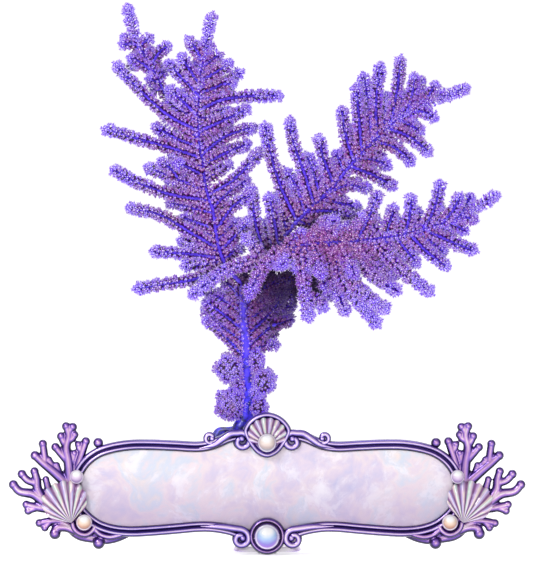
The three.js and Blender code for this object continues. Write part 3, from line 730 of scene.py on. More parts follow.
def tentacle_points(bearing, spread, lift):
    """Wedges in mm: a root on the mouth's rim, two corners half way out and a tip, which lies higher
    by the lift. Each corner is laid out by distance from the polyp's axis, height above its foot
    and width sideways."""
    radial = np.stack([np.cos(bearing), np.sin(bearing), np.zeros(TENTACLES)], 1)
    sideways = np.stack([-np.sin(bearing), np.cos(bearing), np.zeros(TENTACLES)], 1)
    up = np.array([0, 0, 1.0])
    rise = rng.uniform(1.95, 2.3, TENTACLES)[:, None]
    middle = 0.58 * spread[:, None] * radial + rise * up
    root = TENTACLE_ROOT["out"] * radial + TENTACLE_ROOT["height"] * up
    tip = 1.2 * spread[:, None] * radial + (rise + lift[:, None]) * up
    half = TENTACLE_HALF_WIDTH * sideways
    return np.stack([root, middle + half, middle - half, tip], 1)


def polyp(openness):
    """Points in mm with their reach, which runs from 0 at the foot to 1 at the mouth, and faces."""
    bearing = 2 * np.pi * (np.arange(TENTACLES) + rng.uniform(-0.2, 0.2, TENTACLES)) / TENTACLES
    spread = rng.uniform(0.45, 0.6, TENTACLES) + openness * rng.uniform(0.3, 0.62, TENTACLES)
    lift = rng.uniform(0.05, 0.25, TENTACLES) + openness * rng.uniform(0.4, 1.2, TENTACLES)
    wedges = tentacle_points(bearing, spread, lift).reshape(-1, 3)
    wedge = np.array([[0, 2, 1], [0, 1, 3], [0, 3, 2], [1, 2, 3]])
    wedge_faces = (wedge[None] + 4 * np.arange(TENTACLES)[:, None, None]).reshape(-1, 3)
    turn = 2 * np.pi * np.arange(COLUMN_SIDES) / COLUMN_SIDES
    circle = np.stack([np.cos(turn), np.sin(turn), np.zeros(COLUMN_SIDES)], 1)
    rim = COLUMN_RIM["radius"] * circle + [0, 0, COLUMN_RIM["height"]]
    column = np.vstack([COLUMN_FOOT * circle, rim, [[0, 0, MOUTH_HEIGHT]]])
    k = np.arange(COLUMN_SIDES)
    n = (k + 1) % COLUMN_SIDES
    mouth = np.full(COLUMN_SIDES, 2 * COLUMN_SIDES)
    walls = np.vstack([
        np.column_stack([k, n, n + COLUMN_SIDES]),
        np.column_stack([k, n + COLUMN_SIDES, k + COLUMN_SIDES]),
        np.column_stack([k + COLUMN_SIDES, n + COLUMN_SIDES, mouth]),
        [[0, 2, 1]],
    ])
    reach = np.concatenate([np.tile(TENTACLE_REACH, TENTACLES), COLUMN_REACH])
    return np.vstack([wedges, column]), reach, np.vstack([wedge_faces, walls + len(wedges)])


KINDS = [polyp(openness) for openness in np.linspace(0, 1, 6)]
print("a polyp has", len(KINDS[0][2]), "triangles")

# %% [markdown]
# On the real fan the polyps sit in rows along both sides of a branchlet. The front of the strand
# stays bare, which draws the fine blue lines through the fronds, and each end carries a rosette.
# A place for a polyp is a foot, an axis, a size, and how far along its branchlet it is.

# %% Places for the polyps
ROWS = {
    "bare": np.radians([-52, -16, 18, 51]),
    "crowded": np.radians([-56, -22, 12, 45, 78]),
    "behind": np.radians([-14, 26, 66]),
}
PITCH = 2.5 * MM
ROW_END = 0.6 * MM
FOOT_JITTER = 0.22 * MM
SWING_JITTER = 0.11
FOOT_SHARE = 0.8
BRANCHLET_START = 1.5 * MM
# How many polyps are in each ring of a rosette, and how many degrees they lean
ROSETTE = [(1, 0), (5, 36), (6, 68)]


def row_places(path, radius, start, rows, size, closing=0.45, swell=0.0):
    """Feet along both sides. A row stands at an angle from straight across towards the front or
    the back, leans to the branchlet's end, and its places are shifted against the next row's.
    Rows turn by the closing share on their way out, so that they meet over the strand's end, and
    polyps grow by the swell share."""
    run = lengths(path)
    tangent, across, front = frames(path)
    found = []
    for hand in (1, -1):
        for row, angle in enumerate(ROWS[rows]):
            first = start + PITCH * (0.5 * (row % 2) + 0.25 * (hand > 0))
            at = np.arange(first, run[-1] - ROW_END, PITCH)
            at = at + rng.normal(0, FOOT_JITTER, len(at))
            if not len(at):
                continue
            middle, along, sideways, ahead = [
                np.column_stack([np.interp(at, run, vectors[:, k]) for k in range(3)])
                for vectors in (path, tangent, across, front)
            ]
            swing = angle * (1 + closing * at / run[-1]) + rng.normal(0, SWING_JITTER, len(at))
            swing = swing[:, None]
            outward = hand * np.cos(swing) * sideways + np.sin(swing) * ahead
            foot = middle + outward * np.interp(at, run, radius)[:, None] * FOOT_SHARE
            axis = unit(outward + along * rng.uniform(0.15, 0.5, len(at))[:, None])
            length = size * (1 + swell * at / run[-1]) * rng.uniform(0.8, 1.18, len(at))
            found.append(np.column_stack([foot, axis, length, at / run[-1]]))
    return found


def tip_places(path, size):
    """A rosette: one polyp straight on, then rings of them that lean further outwards."""
    tangent, across, front = (vectors[-1] for vectors in frames(path))
    found = []
    for count, lean in ROSETTE:
        turn = 2 * np.pi * (np.arange(count)[:, None] + rng.uniform()) / count
        outward = np.cos(turn) * across + np.sin(turn) * front
        axis = unit(np.cos(np.radians(lean)) * tangent + np.sin(np.radians(lean)) * outward)
        foot = path[-1] - tangent * (0.5 * MM + 1.2 * MM * np.sin(np.radians(lean))) + axis * 0.2 * MM
        length = size * rng.uniform(0.8, 1.12, count)
        found.append(np.column_stack([foot, axis, length, np.ones(count)]))
    return np.vstack(found)


def rows_of(number, drawn, crowded=()):
    """Which rows branchlet number carries. Crowded ones have no bare front, and the short ones
    behind, which come after all the drawn ones, carry fewer rows."""
    if number >= drawn:
        return "behind"
    return "crowded" if number in crowded else "bare"


def frond_places(paths, drawn, stem_start, crowded=()):
    """Places on a frond's stem and on its branchlets."""
    stem_path, stem_radius = paths[0]
    found = row_places(stem_path, stem_radius, stem_start, "bare", 1.05, closing=0.55, swell=0.35)
    found.append(tip_places(stem_path, 1.4))
    for number, (path, radius) in enumerate(paths[1:], start=1):
        rows = rows_of(number, drawn, crowded)
        size = 1.5 if rows == "crowded" else 1.38
        found += row_places(path, radius, BRANCHLET_START, rows, size)
        found.append(tip_places(path, 0.95 * size))
    return np.vstack(found)


# An axis whose part along y is below this is shaded as seen from the front
REARWARD = 0.35


def polyp_tips(places):
    """Where the mouths of the polyps at these places are."""
    return places[:, :3] + places[:, 3:6] * places[:, 6:7] * (MOUTH_HEIGHT * MM)


def stamp(places):
    """A polyp at each place, more open the further along it is. A point is the foot plus the size
    times its own x, y and z carried along two directions across the axis and along the axis. The
    shade is that of the side which the polyp points to."""
    openness = (len(KINDS) - 1) * places[:, 7] + rng.normal(0, 0.8, len(places))
    kinds = np.clip(np.round(openness), 0, len(KINDS) - 1)
    roll = rng.uniform(0, 2 * np.pi, len(places))
    axis = places[:, 3:6]
    helper = unit(np.cross(axis, FRONT + [0.1, 0.0, 0.2]))
    other = np.cross(axis, helper)
    right = np.cos(roll)[:, None] * helper + np.sin(roll)[:, None] * other
    ahead = np.cross(axis, right)
    tint = rng.uniform(0, 1, len(places))
    forward = (axis[:, 1] < REARWARD).astype(float)
    from_front, edges = shade(polyp_tips(places), -1)
    from_back, _ = shade(polyp_tips(places), 1)
    values = {
        "along": places[:, 7], "tint": tint, "edge": edges, "forward": forward,
        "shade": np.where(forward > 0, from_front, from_back),
    }
    shapes = []
    fields = {"reach": [], **{field: [] for field in values}}
    for kind, (points, reach, faces) in enumerate(KINDS):
        chosen = np.flatnonzero(kinds == kind)
        local = points[None] * (places[chosen, 6] * MM)[:, None, None]
        parts = (local[..., 0:1] * right[chosen, None], local[..., 1:2] * ahead[chosen, None])
        world = places[chosen, None, :3] + parts[0] + parts[1] + local[..., 2:3] * axis[chosen, None]
        shift = np.arange(len(chosen))[:, None, None] * len(points)
        shapes.append((world.reshape(-1, 3), (faces[None] + shift).reshape(-1, 3)))
        fields["reach"].append(np.tile(reach, len(chosen)))
        for field, value in values.items():
            fields[field].append(np.repeat(value[chosen], len(points)))
    return gather(shapes), {key: np.concatenate(values) for key, values in fields.items()}


# %% [markdown]
# Polyp tissue is dark wine at the foot, a darkness that is partly painted shade between the polyps,
# violet along the tentacle and nearly white at its tip, with a painted white highlight on the mouth,
# and the fan is rosier inside and bluer at its ends. The reach and along values carry both changes. A
# little painted glow stands in for light that passes through thin tissue and lifts the shade. It
# costs nothing to render.

# %% Finishes of the living fan
HOLLOW = {
    "middle": place([[296, 282]], 10)[0], "dark": 14 * MM, "light": 44 * MM, "front": -50 * MM,
    "back": -43 * MM,
}


def overhang(tree):
    """1 in the hollow behind the two front fronds, which keep the light from it, 0 away from it."""
    behind = fade(tree, coordinate(tree, "Y"), HOLLOW["front"], HOLLOW["back"])
    inputs = {0: node(tree, "TexCoord").outputs["Object"], 1: HOLLOW["middle"]}
    away = node(tree, "VectorMath", inputs, operation="DISTANCE").outputs["Value"]
    return math(tree, "MULTIPLY", behind, fade(tree, away, HOLLOW["light"], HOLLOW["dark"]))


def painted_hollow_shade(tree, light, dark, most):
    """How much of the hollows' painted shade shows: none up to the light shade value, the most from the
    dark one.
    """
    return math(tree, "MULTIPLY", fade(tree, attribute(tree, "shade"), light, dark), most)


def polyp_finish():
    """The blush grows from the ends inwards with some chance, and mixes a blue ramp along the reach
    with a rosy one. Painted glints and painted light on the pale outline come next, then the painted
    shade of the hollows and the painted shadow under the front fronds last."""
    # The glow is painted light: it lifts the tissue's shade.
    made, tree, shader = finish(
        "polyp tissue", Roughness=0.55, Specular_IOR_Level=0.3, Emission_Strength=0.34,
    )
    reach = attribute(tree, "reach")
    blush = math(tree, "MULTIPLY_ADD", attribute(tree, "along"), -0.9, 0.9)
    blush = math(tree, "ADD", blush, math(tree, "MULTIPLY_ADD", attribute(tree, "tint"), 0.7, -0.35))
    blush = math(tree, "ADD", blush, math(tree, "MULTIPLY_ADD", noise(tree, 28.0), 1.2, -0.6), clamp=True)
    # At reach 0 the near-black foot is partly painted shade between the polyps, and the white at reach 1
    # is a painted highlight on the mouth.
    stops = (0.0, 0.25, 0.45, 0.66, 0.86, 1.0)
    blue = ramp(tree, reach, *zip(stops, ("160420", "44148E", "7E44FC", "B48EFF", "F4EEFF", "FFFFFF")))
    rose = ramp(tree, reach, *zip(stops, ("1C0410", "400C2C", "802880", "A850B8", "DAA4E8", "FFF8FF")))
    base = blend(tree, blush, blue, rose)
    # Painted glints: near-white specks on the tentacle tips.
    painted_glint = math(tree, "GREATER_THAN", noise(tree, 900.0, 0.0), 0.62)
    painted_glint = math(tree, "MULTIPLY", painted_glint, math(tree, "GREATER_THAN", reach, 0.7))
    base = blend(tree, painted_glint, base, colour("FBEFFF"))
    # Painted light on the outline: pale tips where the fan has open space around it.
    pale = math(tree, "MULTIPLY", attribute(tree, "edge"), fade(tree, reach, 0.5, 0.9))
    base = blend(tree, math(tree, "MULTIPLY", pale, 1.8, clamp=True), base, colour("F2ECFF"))
    # Painted shade in the hollows, then a painted shadow under the two front fronds.
    base = blend(tree, painted_hollow_shade(tree, 0.05, 0.4, 0.85), base, colour("200A2A"))
    shaded = math(tree, "MULTIPLY", overhang(tree), attribute(tree, "forward"))
    base = blend(tree, math(tree, "MULTIPLY", shaded, 0.85), base, colour("180820"))
    paint(tree, shader, base)
    return made


def strand_finish():
    """Navy at the root, bright blue on the trunk and violet-blue above it, all mottled. Navy towards the
    root is the crust's darker blue and partly painted shade under the tufts. Above the trunk, flanks
    that turn from the front get painted shade in wine, rinds are wine, and the hollows and the part
    under the front fronds get painted shade."""
    # The glow is painted light: it lifts the bark's shade.
    made, tree, shader = finish(
        "strand bark", Roughness=0.42, Coat_Weight=0.2, Emission_Strength=0.15,
    )
    mottle = noise(tree, 260.0, 3.0)
    height = coordinate(tree, "Z")
    rise = fade(tree, height, 0.09, 0.16)
    low = ramp(tree, mottle, (0.36, "120A68"), (0.5, "3A26F0"), (0.7, "5A44FF"))
    high = ramp(tree, mottle, (0.3, "4A28D4"), (0.6, "6640F8"))
    base = blend(tree, rise, low, high)
    # Navy towards the root: the crust's darker blue, and partly painted shade under the tufts.
    root = fade(tree, height, 0.082, 0.07)
    navy_root_shade = ramp(tree, mottle, (0.4, "06043A"), (0.52, "1A1290"), (0.66, "4A3AEC"))
    base = blend(tree, root, base, navy_root_shade)
    # Painted shade in the rind's wine on flanks that turn from the front, above the trunk.
    front, _ = facing(tree)
    clear = math(tree, "MAXIMUM", fade(tree, front, 0.35, 0.75), math(tree, "SUBTRACT", 1.0, rise))
    dark = math(tree, "MAXIMUM", math(tree, "SUBTRACT", 1.0, clear), attribute(tree, "rind"))
    wine = ramp(tree, noise(tree, 340.0), (0.35, "1C0A1E"), (0.65, "4A1F52"))
    base = blend(tree, dark, base, wine)
    # Painted shade in the hollows, then a painted shadow under the two front fronds.
    base = blend(tree, painted_hollow_shade(tree, 0.15, 0.6, 0.75), base, colour("180A2C"))
    base = blend(tree, math(tree, "MULTIPLY", overhang(tree), 0.6), base, colour("1E0C3C"))
    paint(tree, shader, base)
    bump(tree, shader, noise(tree, 900.0, 2.0), 0.5, 0.0003)
    return made


TISSUE = polyp_finish()
BARK = strand_finish()

# %% [markdown]
# First every frond gets its paths and the places of its polyps. Nothing is made yet, because the
# painted shade in the colours depends on which parts lie behind others.

# %% Grow the fronds
def grow(name, frond, stem_from, stem_to, stem_start, polyp_pieces, crowded=()):
    """The strands and the polyps' places of one frond. The stem's radius runs from one number of
    mm to the next, and its rows start a number of mm from the fork."""
    paths, drawn = strands(frond, stem_from * MM, stem_to * MM)
    places = frond_places(paths, drawn, stem_start * MM, crowded)
    print(name, "carries", len(places), "polyps")
    return {"name": name, "paths": paths, "places": places, "polyp_pieces": polyp_pieces}


fronds = [
    grow("tall_frond", TALL_FROND, 1.6, 0.8, stem_start=0.0, polyp_pieces=2),
    grow("middle_frond", MIDDLE_FROND, 1.9, 0.8, stem_start=0.0, polyp_pieces=2),
    grow("right_frond", RIGHT_FROND, 1.3, 0.8, stem_start=6.0, polyp_pieces=2, crowded=range(13, 33)),
    grow("back_plume", BACK_PLUME, 1.2, 0.7, stem_start=0.0, polyp_pieces=1),
]

# %% [markdown]
# The trunk is bare, bright blue and a little uneven. Short curled branchlets make tufts on it, which
# are drawn as lobed cores with polyps all over. It flares into a holdfast that grips the plinth.

# %% Trunk, tufts and holdfast
def ball_directions(count):
    """Directions spread evenly over a ball: even steps in height and golden-angle turns."""
    number = np.arange(count) + 0.5
    height = 1 - 2 * number / count
    turn = np.pi * (1 + 5**0.5) * number
    flat = np.sqrt(1 - height**2)
    return np.column_stack([flat * np.cos(turn), flat * np.sin(turn), height])


def lobed(directions, phase, depth=0.17):
    """Radius of a lumpy ball: one plus two waves, across and along it."""
    x, y, z = directions.T
    waves = np.sin(5.2 * x + phase) * np.cos(4.6 * z + 2 * phase) + 0.6 * np.sin(6.1 * y + 3 * phase)
    return 1 + depth * waves


def lumpy_ball(centre, half_sizes, phase, rows=18, columns=26, depth=0.17):
    """A ball of rows by columns whose radius is lobed, closed by a point at each pole."""
    polar = np.linspace(0, np.pi, rows + 2)[1:-1, None]
    turn = np.linspace(0, 2 * np.pi, columns, endpoint=False)[None]
    shape = np.broadcast_arrays(np.sin(polar) * np.cos(turn), np.sin(polar) * np.sin(turn), -np.cos(polar))
    directions = np.vstack([np.stack(shape, -1).reshape(-1, 3), [0, 0, -1], [0, 0, 1]])
    points = centre + directions * lobed(directions, phase, depth)[:, None] * half_sizes
    return points, ring_quads(rows, columns), end_caps(rows, columns)


SUNK = 1.1 * MM
TUFT_SPACING = 1.45


def tuft_places(centre, half_sizes, phase):
    """Feet spread over a lobed core, each polyp pointing away from the centre. Their number is the
    core's surface over the square of the spacing."""
    count = int(4 * np.pi * np.prod(half_sizes) ** (2 / 3) / (TUFT_SPACING * MM) ** 2)
    directions = ball_directions(count)
    foot = centre + directions * lobed(directions, phase)[:, None] * half_sizes
    axis = unit(directions / half_sizes + rng.normal(0, 0.3 / np.mean(half_sizes), directions.shape))
    foot = foot - axis * SUNK
    size = rng.uniform(1.05, 1.4, count)
    return np.column_stack([foot, axis, size, rng.uniform(0.6, 1.0, count)])


POLYP_HEIGHT = 1.7
CORE_SHARE = 0.92
TRUNK_RADIUS = (3.5 * MM, 2.3 * MM)
FLARE = {"radius": 5.2 * MM, "fall": 7 * MM}
BARE_FOOT = 0.12

trunk_paths, trunk_drawn = strands(TRUNK, *TRUNK_RADIUS)
trunk_stem, trunk_radius = trunk_paths[0]
trunk_run = lengths(trunk_stem)
trunk_radius = trunk_radius + FLARE["radius"] * np.exp(-trunk_run / FLARE["fall"])
trunk_paths[0] = (trunk_stem, trunk_radius)
trunk_places = row_places(trunk_stem, trunk_radius, BARE_FOOT * trunk_run[-1], "bare", 1.0)
for number, (path, radius) in enumerate(trunk_paths[1:], start=1):
    trunk_places += row_places(path, radius, BRANCHLET_START, rows_of(number, trunk_drawn), 1.36)
    trunk_places.append(tip_places(path, 1.25))
cores = []
for number, (centre, half_sizes) in enumerate(TRUNK["tufts"]):
    middle = place([centre], nearest_depth(TRUNK["stem"], centre))[0]
    core = (np.array(half_sizes) - POLYP_HEIGHT) * MM
    cores.append(lumpy_ball(middle, core * CORE_SHARE, number))
    trunk_places.append(tuft_places(middle, core, number))
trunk_places = np.vstack(trunk_places)

# The crust in mm, cut off flat where it sits on the plinth
HOLDFAST = {"middle": (-22.5, 17, 63), "half_sizes": (13.2, 8.8, 10.6), "seat": 62.0}
holdfast_middle = np.array(HOLDFAST["middle"]) * MM + [0, PLAQUE_Y, 0]
holdfast_sizes = np.array(HOLDFAST["half_sizes"]) * MM
crust = lumpy_ball(holdfast_middle, holdfast_sizes, phase=2.0, rows=40, columns=64, depth=0.12)
crust[0][:, 2] = np.maximum(crust[0][:, 2], HOLDFAST["seat"] * MM)

# %% [markdown]
# Light reaches the hollows between branchlets poorly. Two small maps show it, of the front (-1) and
# the back (1): each cell keeps how far out the outermost polyp lies, and a point is shaded by the
# share of the cells around it that lie well before it. Shadows alone do the same less strongly.

# %% Shade of the hollows
# A cell's width, the patch's radius in cells, and how far before a point its neighbours must lie
CELL = 1.2 * MM
AROUND = 4
CLEAR, HIDDEN = 1.0 * MM, 7 * MM
mouths = polyp_tips(np.vstack([trunk_places] + [frond["places"] for frond in fronds]))
map_low = mouths.min(axis=0)
map_cells = np.ceil((mouths.max(axis=0) - map_low) / CELL).astype(int) + 1 + 2 * AROUND


def cells(points):
    """Column and row of the map for each point. Points outside the map take its nearest cell."""
    found = []
    for k in (0, 2):
        cell = np.round((points[:, k] - map_low[k]) / CELL).astype(int) + AROUND
        found.append(np.clip(cell, AROUND, map_cells[k] - AROUND - 1))
    return tuple(found)


nearest = {side: np.full((map_cells[0], map_cells[2]), -np.inf) for side in (-1, 1)}
for side, depths in nearest.items():
    np.maximum.at(depths, cells(mouths), side * mouths[:, 1])


def shade(points, from_side):
    """Two shares for each point, from a round patch of the map of one side. The first is the mean of
    how far each cell lies before the point: 0 up to the clear distance, 1 from the hidden one. The
    second is the share of empty cells, which is high on the outline."""
    across, up = cells(points)
    steps = [(i, k) for i in range(-AROUND, AROUND + 1) for k in range(-AROUND, AROUND + 1)]
    steps = [(i, k) for i, k in steps if i * i + k * k <= AROUND * AROUND]
    total = np.zeros(len(points))
    empty = np.zeros(len(points))
    for i, k in steps:
        ahead = nearest[from_side][across + i, up + k] - from_side * points[:, 1]
        total += np.clip((ahead - CLEAR) / (HIDDEN - CLEAR), 0, 1)
        empty += np.isinf(ahead)
    return total / len(steps), empty / len(steps)


# %% [markdown]
# Now the pieces are made. A frond has one piece of bark and up to two of polyps, because a mesh of
# more than two hundred thousand triangles is slow to handle. The bare crust keeps its own piece.

# %% Make the sea fan
for frond in fronds:
    bark_piece(frond["name"] + "_strands", frond["paths"], frond["name"])
    for number, share in enumerate(np.array_split(frond["places"], frond["polyp_pieces"]), start=1):
        shape, fields = stamp(share)
        new_piece(f"{frond['name']}_polyps_{number}", shape, TISSUE, [frond["name"]], fields)
bark_piece("trunk_strands", trunk_paths, "trunk_and_holdfast", stem_sides=20, others=cores)
unshaded = {field: np.zeros(len(crust[0])) for field in ("rind", "shade")}
new_piece("holdfast_crust", crust, BARK, ["trunk_and_holdfast"], unshaded)
shape, fields = stamp(trunk_places)
new_piece("trunk_polyps", shape, TISSUE, ["trunk_and_holdfast"], fields)

# %% [markdown]
# The plaque is a polished casting in violet metal. Its rim is one moulding with two rounded reeds,
# carried round the edge. On the real thing such a rim is pressed or cast from a drawn section, so
# the mesh is made the same way: a section offset outwards from a smooth outline at every step.

# %% Outline and moulding of the plaque
PANEL_EDGE = [
    [267.1, 440], [240, 440], [230, 442], [221, 446], [211, 449.5], [198, 451.3], [175, 450.3],
    [150, 449.3], [130, 449.7], [112, 452.7], [100, 457], [90, 464.5], [84, 473], [81, 484],
    [81, 496], [84, 505], [90, 512.5], [100, 520], [113, 524.5], [130, 526.3], [150, 525.5],
    [175, 523.5], [198, 521.5], [214, 521.8], [230, 524.5], [245, 529], [267.1, 531],
]
TOP_MEDALLION = [
    [267.1, 413.5], [257, 416], [249, 422], [244.5, 430], [247, 438], [252, 446], [258, 452.5],
    [267.1, 456],
]
# Sections in mm: how far out from the outline, then depth
PLATE_FRONT = -3.0
MOULDING = [
    [0, PLATE_FRONT], [0.05, -4.8], [0.35, -6.0], [1.1, -6.6], [1.9, -6.3], [2.4, -5.5], [2.65, -5.2],
    [2.95, -5.6], [3.4, -6.7], [4.2, -7.2], [5.1, -6.8], [5.75, -5.6], [6.0, -3.8], [5.9, -1],
    [5.5, 2.6], [4.9, 3.9], [4.2, 4.0],
]
MEDALLION_FRONT = -7.0
ARCH = [
    [-2.6, MEDALLION_FRONT], [-2.2, -7.3], [-1.6, -8.2], [-0.7, -8.7], [0.2, -8.3], [0.75, -7.3],
    [0.95, -5.8], [0.95, -1], [0.6, 2.4], [0.1, 3.0],
]


def mirrored(half, depth=0.0):
    """A closed outline from its left half, which starts and ends on the middle line."""
    right = half[-2:0:-1]
    return np.vstack([place(half, depth), place(right, depth, side=-1)])


def moulded(outline, section):
    """Row j is the outline moved outwards by the section's first number, at its second number's
    depth. The first row is closed by a flat face in front and the last by one behind."""
    ahead = unit(np.roll(outline, -1, 0) - np.roll(outline, 1, 0))
    outward = np.column_stack([ahead[:, 2], np.zeros(len(outline)), -ahead[:, 0]])
    rows = outline[None] + section[:, :1, None] * MM * outward[None]
    rows[:, :, 1] = PLAQUE_Y + section[:, 1:] * MM
    count = len(outline)
    quads = ring_quads(len(section), count)[:, [0, 3, 2, 1]]
    around = np.arange(count)[None]
    back = around[:, ::-1] + (len(section) - 1) * count
    return rows.reshape(-1, 3), quads, around, back


rim_outline = smooth_route(mirrored(PANEL_EDGE), 1.1 * MM, closed=True)
rim = moulded(rim_outline, smooth_profile(MOULDING, 0.45))
arch_outline = smooth_route(mirrored(TOP_MEDALLION), 0.6 * MM, closed=True)
arch = moulded(arch_outline, smooth_profile(ARCH, 0.4))
print("rim", rim[0].shape, "arch", arch[0].shape)

# %% [markdown]
# Scrolls are tapering round bars that leave the rim and roll up into a spiral. Angles run clockwise
# from the top, and the radius shrinks evenly with the angle. A bead fills the eye of each spiral.

# %% Scrolls
SCROLLS = [
    {
        "lead": [[198, 448.5], [204, 447], [214, 444.5], [223, 438.5], [231, 433.5]],
        "centre": [241.7, 441.3], "start": -25, "turn": 400, "from": 9.3, "to": 2.6,
        "thick": 2.55, "thin": 1.7,
    },
    {
        "lead": [[224, 439], [216, 443]],
        "centre": [210.3, 437.5], "start": 175, "turn": 310, "from": 5.6, "to": 1.9,
        "thick": 1.95, "thin": 1.5,
    },
    {
        "lead": [[200, 525.6], [208, 526], [222, 526.3], [235, 528]],
        "centre": [240.7, 538.3], "start": 15, "turn": 420, "from": 9.2, "to": 2.3,
        "thick": 2.45, "thin": 1.7,
    },
]
SCROLL_DEPTH = -6.2
SCROLL_RISE = 9 * MM
WEB_DEPTH = -5.6
WEB_INSET = 0.6


def bead(centre, radius, squash=1.0):
    """A smooth ball, flattened from front to back by the squash."""
    half_sizes = np.array([radius, radius * squash, radius])
    return lumpy_ball(centre, half_sizes, phase=0.0, rows=14, columns=22, depth=0.0)


def scroll(item, side):
    """A bar along the lead-in and the spiral, thinner towards its end, with a bead there. It rises
    out of the rim from a small part of its thickness, by a bell curve of the distance."""
    centre = item["centre"]
    angle = np.arange(0, item["turn"] + 1, 30)
    radius = item["from"] + (item["to"] - item["from"]) * angle / item["turn"]
    bearing = np.radians(item["start"] + angle)
    curl = np.column_stack([centre[0] + radius * np.sin(bearing), centre[1] - radius * np.cos(bearing)])
    path = smooth_route(place(np.vstack([item["lead"], curl]), SCROLL_DEPTH, side), 0.5 * MM)
    size = np.linspace(item["thick"], item["thin"], len(path)) * MM
    size *= 1 - 0.85 * np.exp(-((lengths(path) / SCROLL_RISE) ** 2))
    return [tube(path, round_ends(path, size), 20), bead(path[-1], 1.2 * item["thin"] * MM)]


def web(item, side):
    """The thin plate that fills the eye of a scroll from behind. Its dark colour is painted shade."""
    centre = place([item["centre"]], WEB_DEPTH, side)[0]
    return bead(centre, (item["from"] - WEB_INSET) * TRACE_STEP, squash=0.09)


# %% [markdown]
# Below each shell the casting spreads into a wing with a cup for the lower pearl, a ridge and a
# round knob. They are bars and balls run together. A voxel remesh turns them into one skin, and a
# little smoothing softens the joins as molten metal would.

# %% Cast wings and coral sprigs
CORNER_BODY = [[72, 512], [76, 524], [84, 530], [95, 532], [108, 534.5], [118, 533], [128, 530]]
CORNER_HEM = [[69, 520], [72, 530], [80, 536], [92, 538.5], [104, 540], [116, 538], [130, 532]]
PEARL_CUP = [[72.5, 520], [74.5, 528], [80, 533], [87, 534], [93, 530], [96.5, 523]]
CORNER_RIDGE = [[94, 527], [100, 533.5], [110, 536.5], [124, 533.5]]
WING_BARS = [
    {"route": CORNER_BODY, "depth": -0.6, "radius": 4.2},
    {"route": CORNER_HEM, "depth": -1.5, "radius": 2.6},
    {"route": PEARL_CUP, "depth": -5.6, "radius": 1.7},
    {"route": CORNER_RIDGE, "depth": -5.4, "radius": 1.6},
]
# The bars behind the shell that the twigs grow from, at three quarters of their solid's radius
BOSS_DEPTH = -1.5
BOSS_SHARE = 0.75
BOSS_BARS = [
    {"route": [[76, 482], [66, 486], [56, 496], [56, 510], [66, 518]], "size": 5.6},
    {"route": [[62, 490], [50, 498], [49, 508], [60, 516]], "size": 4.2},
]
KNOB_DEPTH = -4.0
KNOBS = [{"at": [98.5, 442.5], "radius": 3.0}, {"at": [99, 542.6], "radius": 3.6}]
SPRIG_DEPTH = -3.5
SPRIGS = [
    {"route": [[71, 484], [69, 462], [66.5, 447], [69, 434], [66, 425]], "root": 3.1, "tip": 2.2},
    {"route": [[68.5, 434], [71, 429], [74, 426]], "root": 1.9, "tip": 2.2},
    {"route": [[66.5, 446], [63, 440], [61, 435]], "root": 1.9, "tip": 2.2},
    {"route": [[68, 441], [73, 438], [75.5, 433.5]], "root": 1.9, "tip": 2.0},
    {"route": [[69, 462], [61, 453], [55, 446]], "root": 2.2, "tip": 2.2},
    {"route": [[70.5, 468], [73.5, 459], [75, 452]], "root": 1.9, "tip": 1.9},
    {"route": [[76, 474], [80, 459], [83, 450], [86.5, 440]], "root": 2.3, "tip": 2.2},
    {"route": [[82.5, 452], [79.5, 448], [78.5, 443]], "root": 1.8, "tip": 1.9},
    {"route": [[68, 484], [55, 472], [44, 463], [34.5, 454.5]], "root": 3.0, "tip": 2.4},
    {"route": [[46, 465], [44.5, 453], [43, 442.5]], "root": 2.0, "tip": 2.2},
    {"route": [[60, 475], [58.5, 469], [56.5, 464]], "root": 1.8, "tip": 1.8},
    {"route": [[56, 473], [52, 464], [48.5, 458.5]], "root": 1.9, "tip": 1.8},
    {"route": [[50, 492], [47.5, 484], [46, 478]], "root": 2.2, "tip": 1.8},
    {"route": [[46, 503], [38, 489], [37, 479], [34.5, 470]], "root": 2.9, "tip": 2.2},
    {"route": [[37, 483], [28, 480], [21.5, 473]], "root": 2.0, "tip": 2.3},
    {"route": [[46, 503], [34, 494], [20, 491], [13, 483.5]], "root": 2.8, "tip": 2.4},
    {"route": [[48, 508], [38, 507], [25.5, 504]], "root": 2.5, "tip": 2.1},
    {"route": [[38, 507], [32, 509], [27.5, 511]], "root": 2.0, "tip": 2.1},
    {"route": [[72, 527], [60, 520.5], [48, 521], [38.5, 523]], "root": 2.2, "tip": 2.1},
    {"route": [[51, 520.5], [47, 525], [44.5, 528.5]], "root": 1.8, "tip": 1.9},
    {"route": [[76, 531], [66, 527], [57, 528], [55, 534.5]], "root": 2.2, "tip": 2.9},
]


def bar(route, depth, radius, side):
    """A round bar of even radius along a traced route."""
    path = smooth_route(place(route, depth, side), 0.8 * MM)
    return tube(path, round_ends(path, np.full(len(path), radius * MM)), 12)


def sprig(route, root, tip, side):
    """A twig that is thick at its root, slim in the middle and ends in a round knob."""
    path = smooth_route(place(route, SPRIG_DEPTH, side), 0.7 * MM)
    run = lengths(path) / lengths(path)[-1]
    waist = 1.22 * (root + (0.84 * tip - root) * run)
    knob = tip * np.exp(-((1 - run) * lengths(path)[-1] / (2.0 * MM)) ** 2)
    radius = np.maximum(waist, knob + 0.2 * waist * (1 - run)) * MM
    return [tube(path[:-1], radius[:-1], 12), bead(path[-2], tip * 1.18 * MM)]


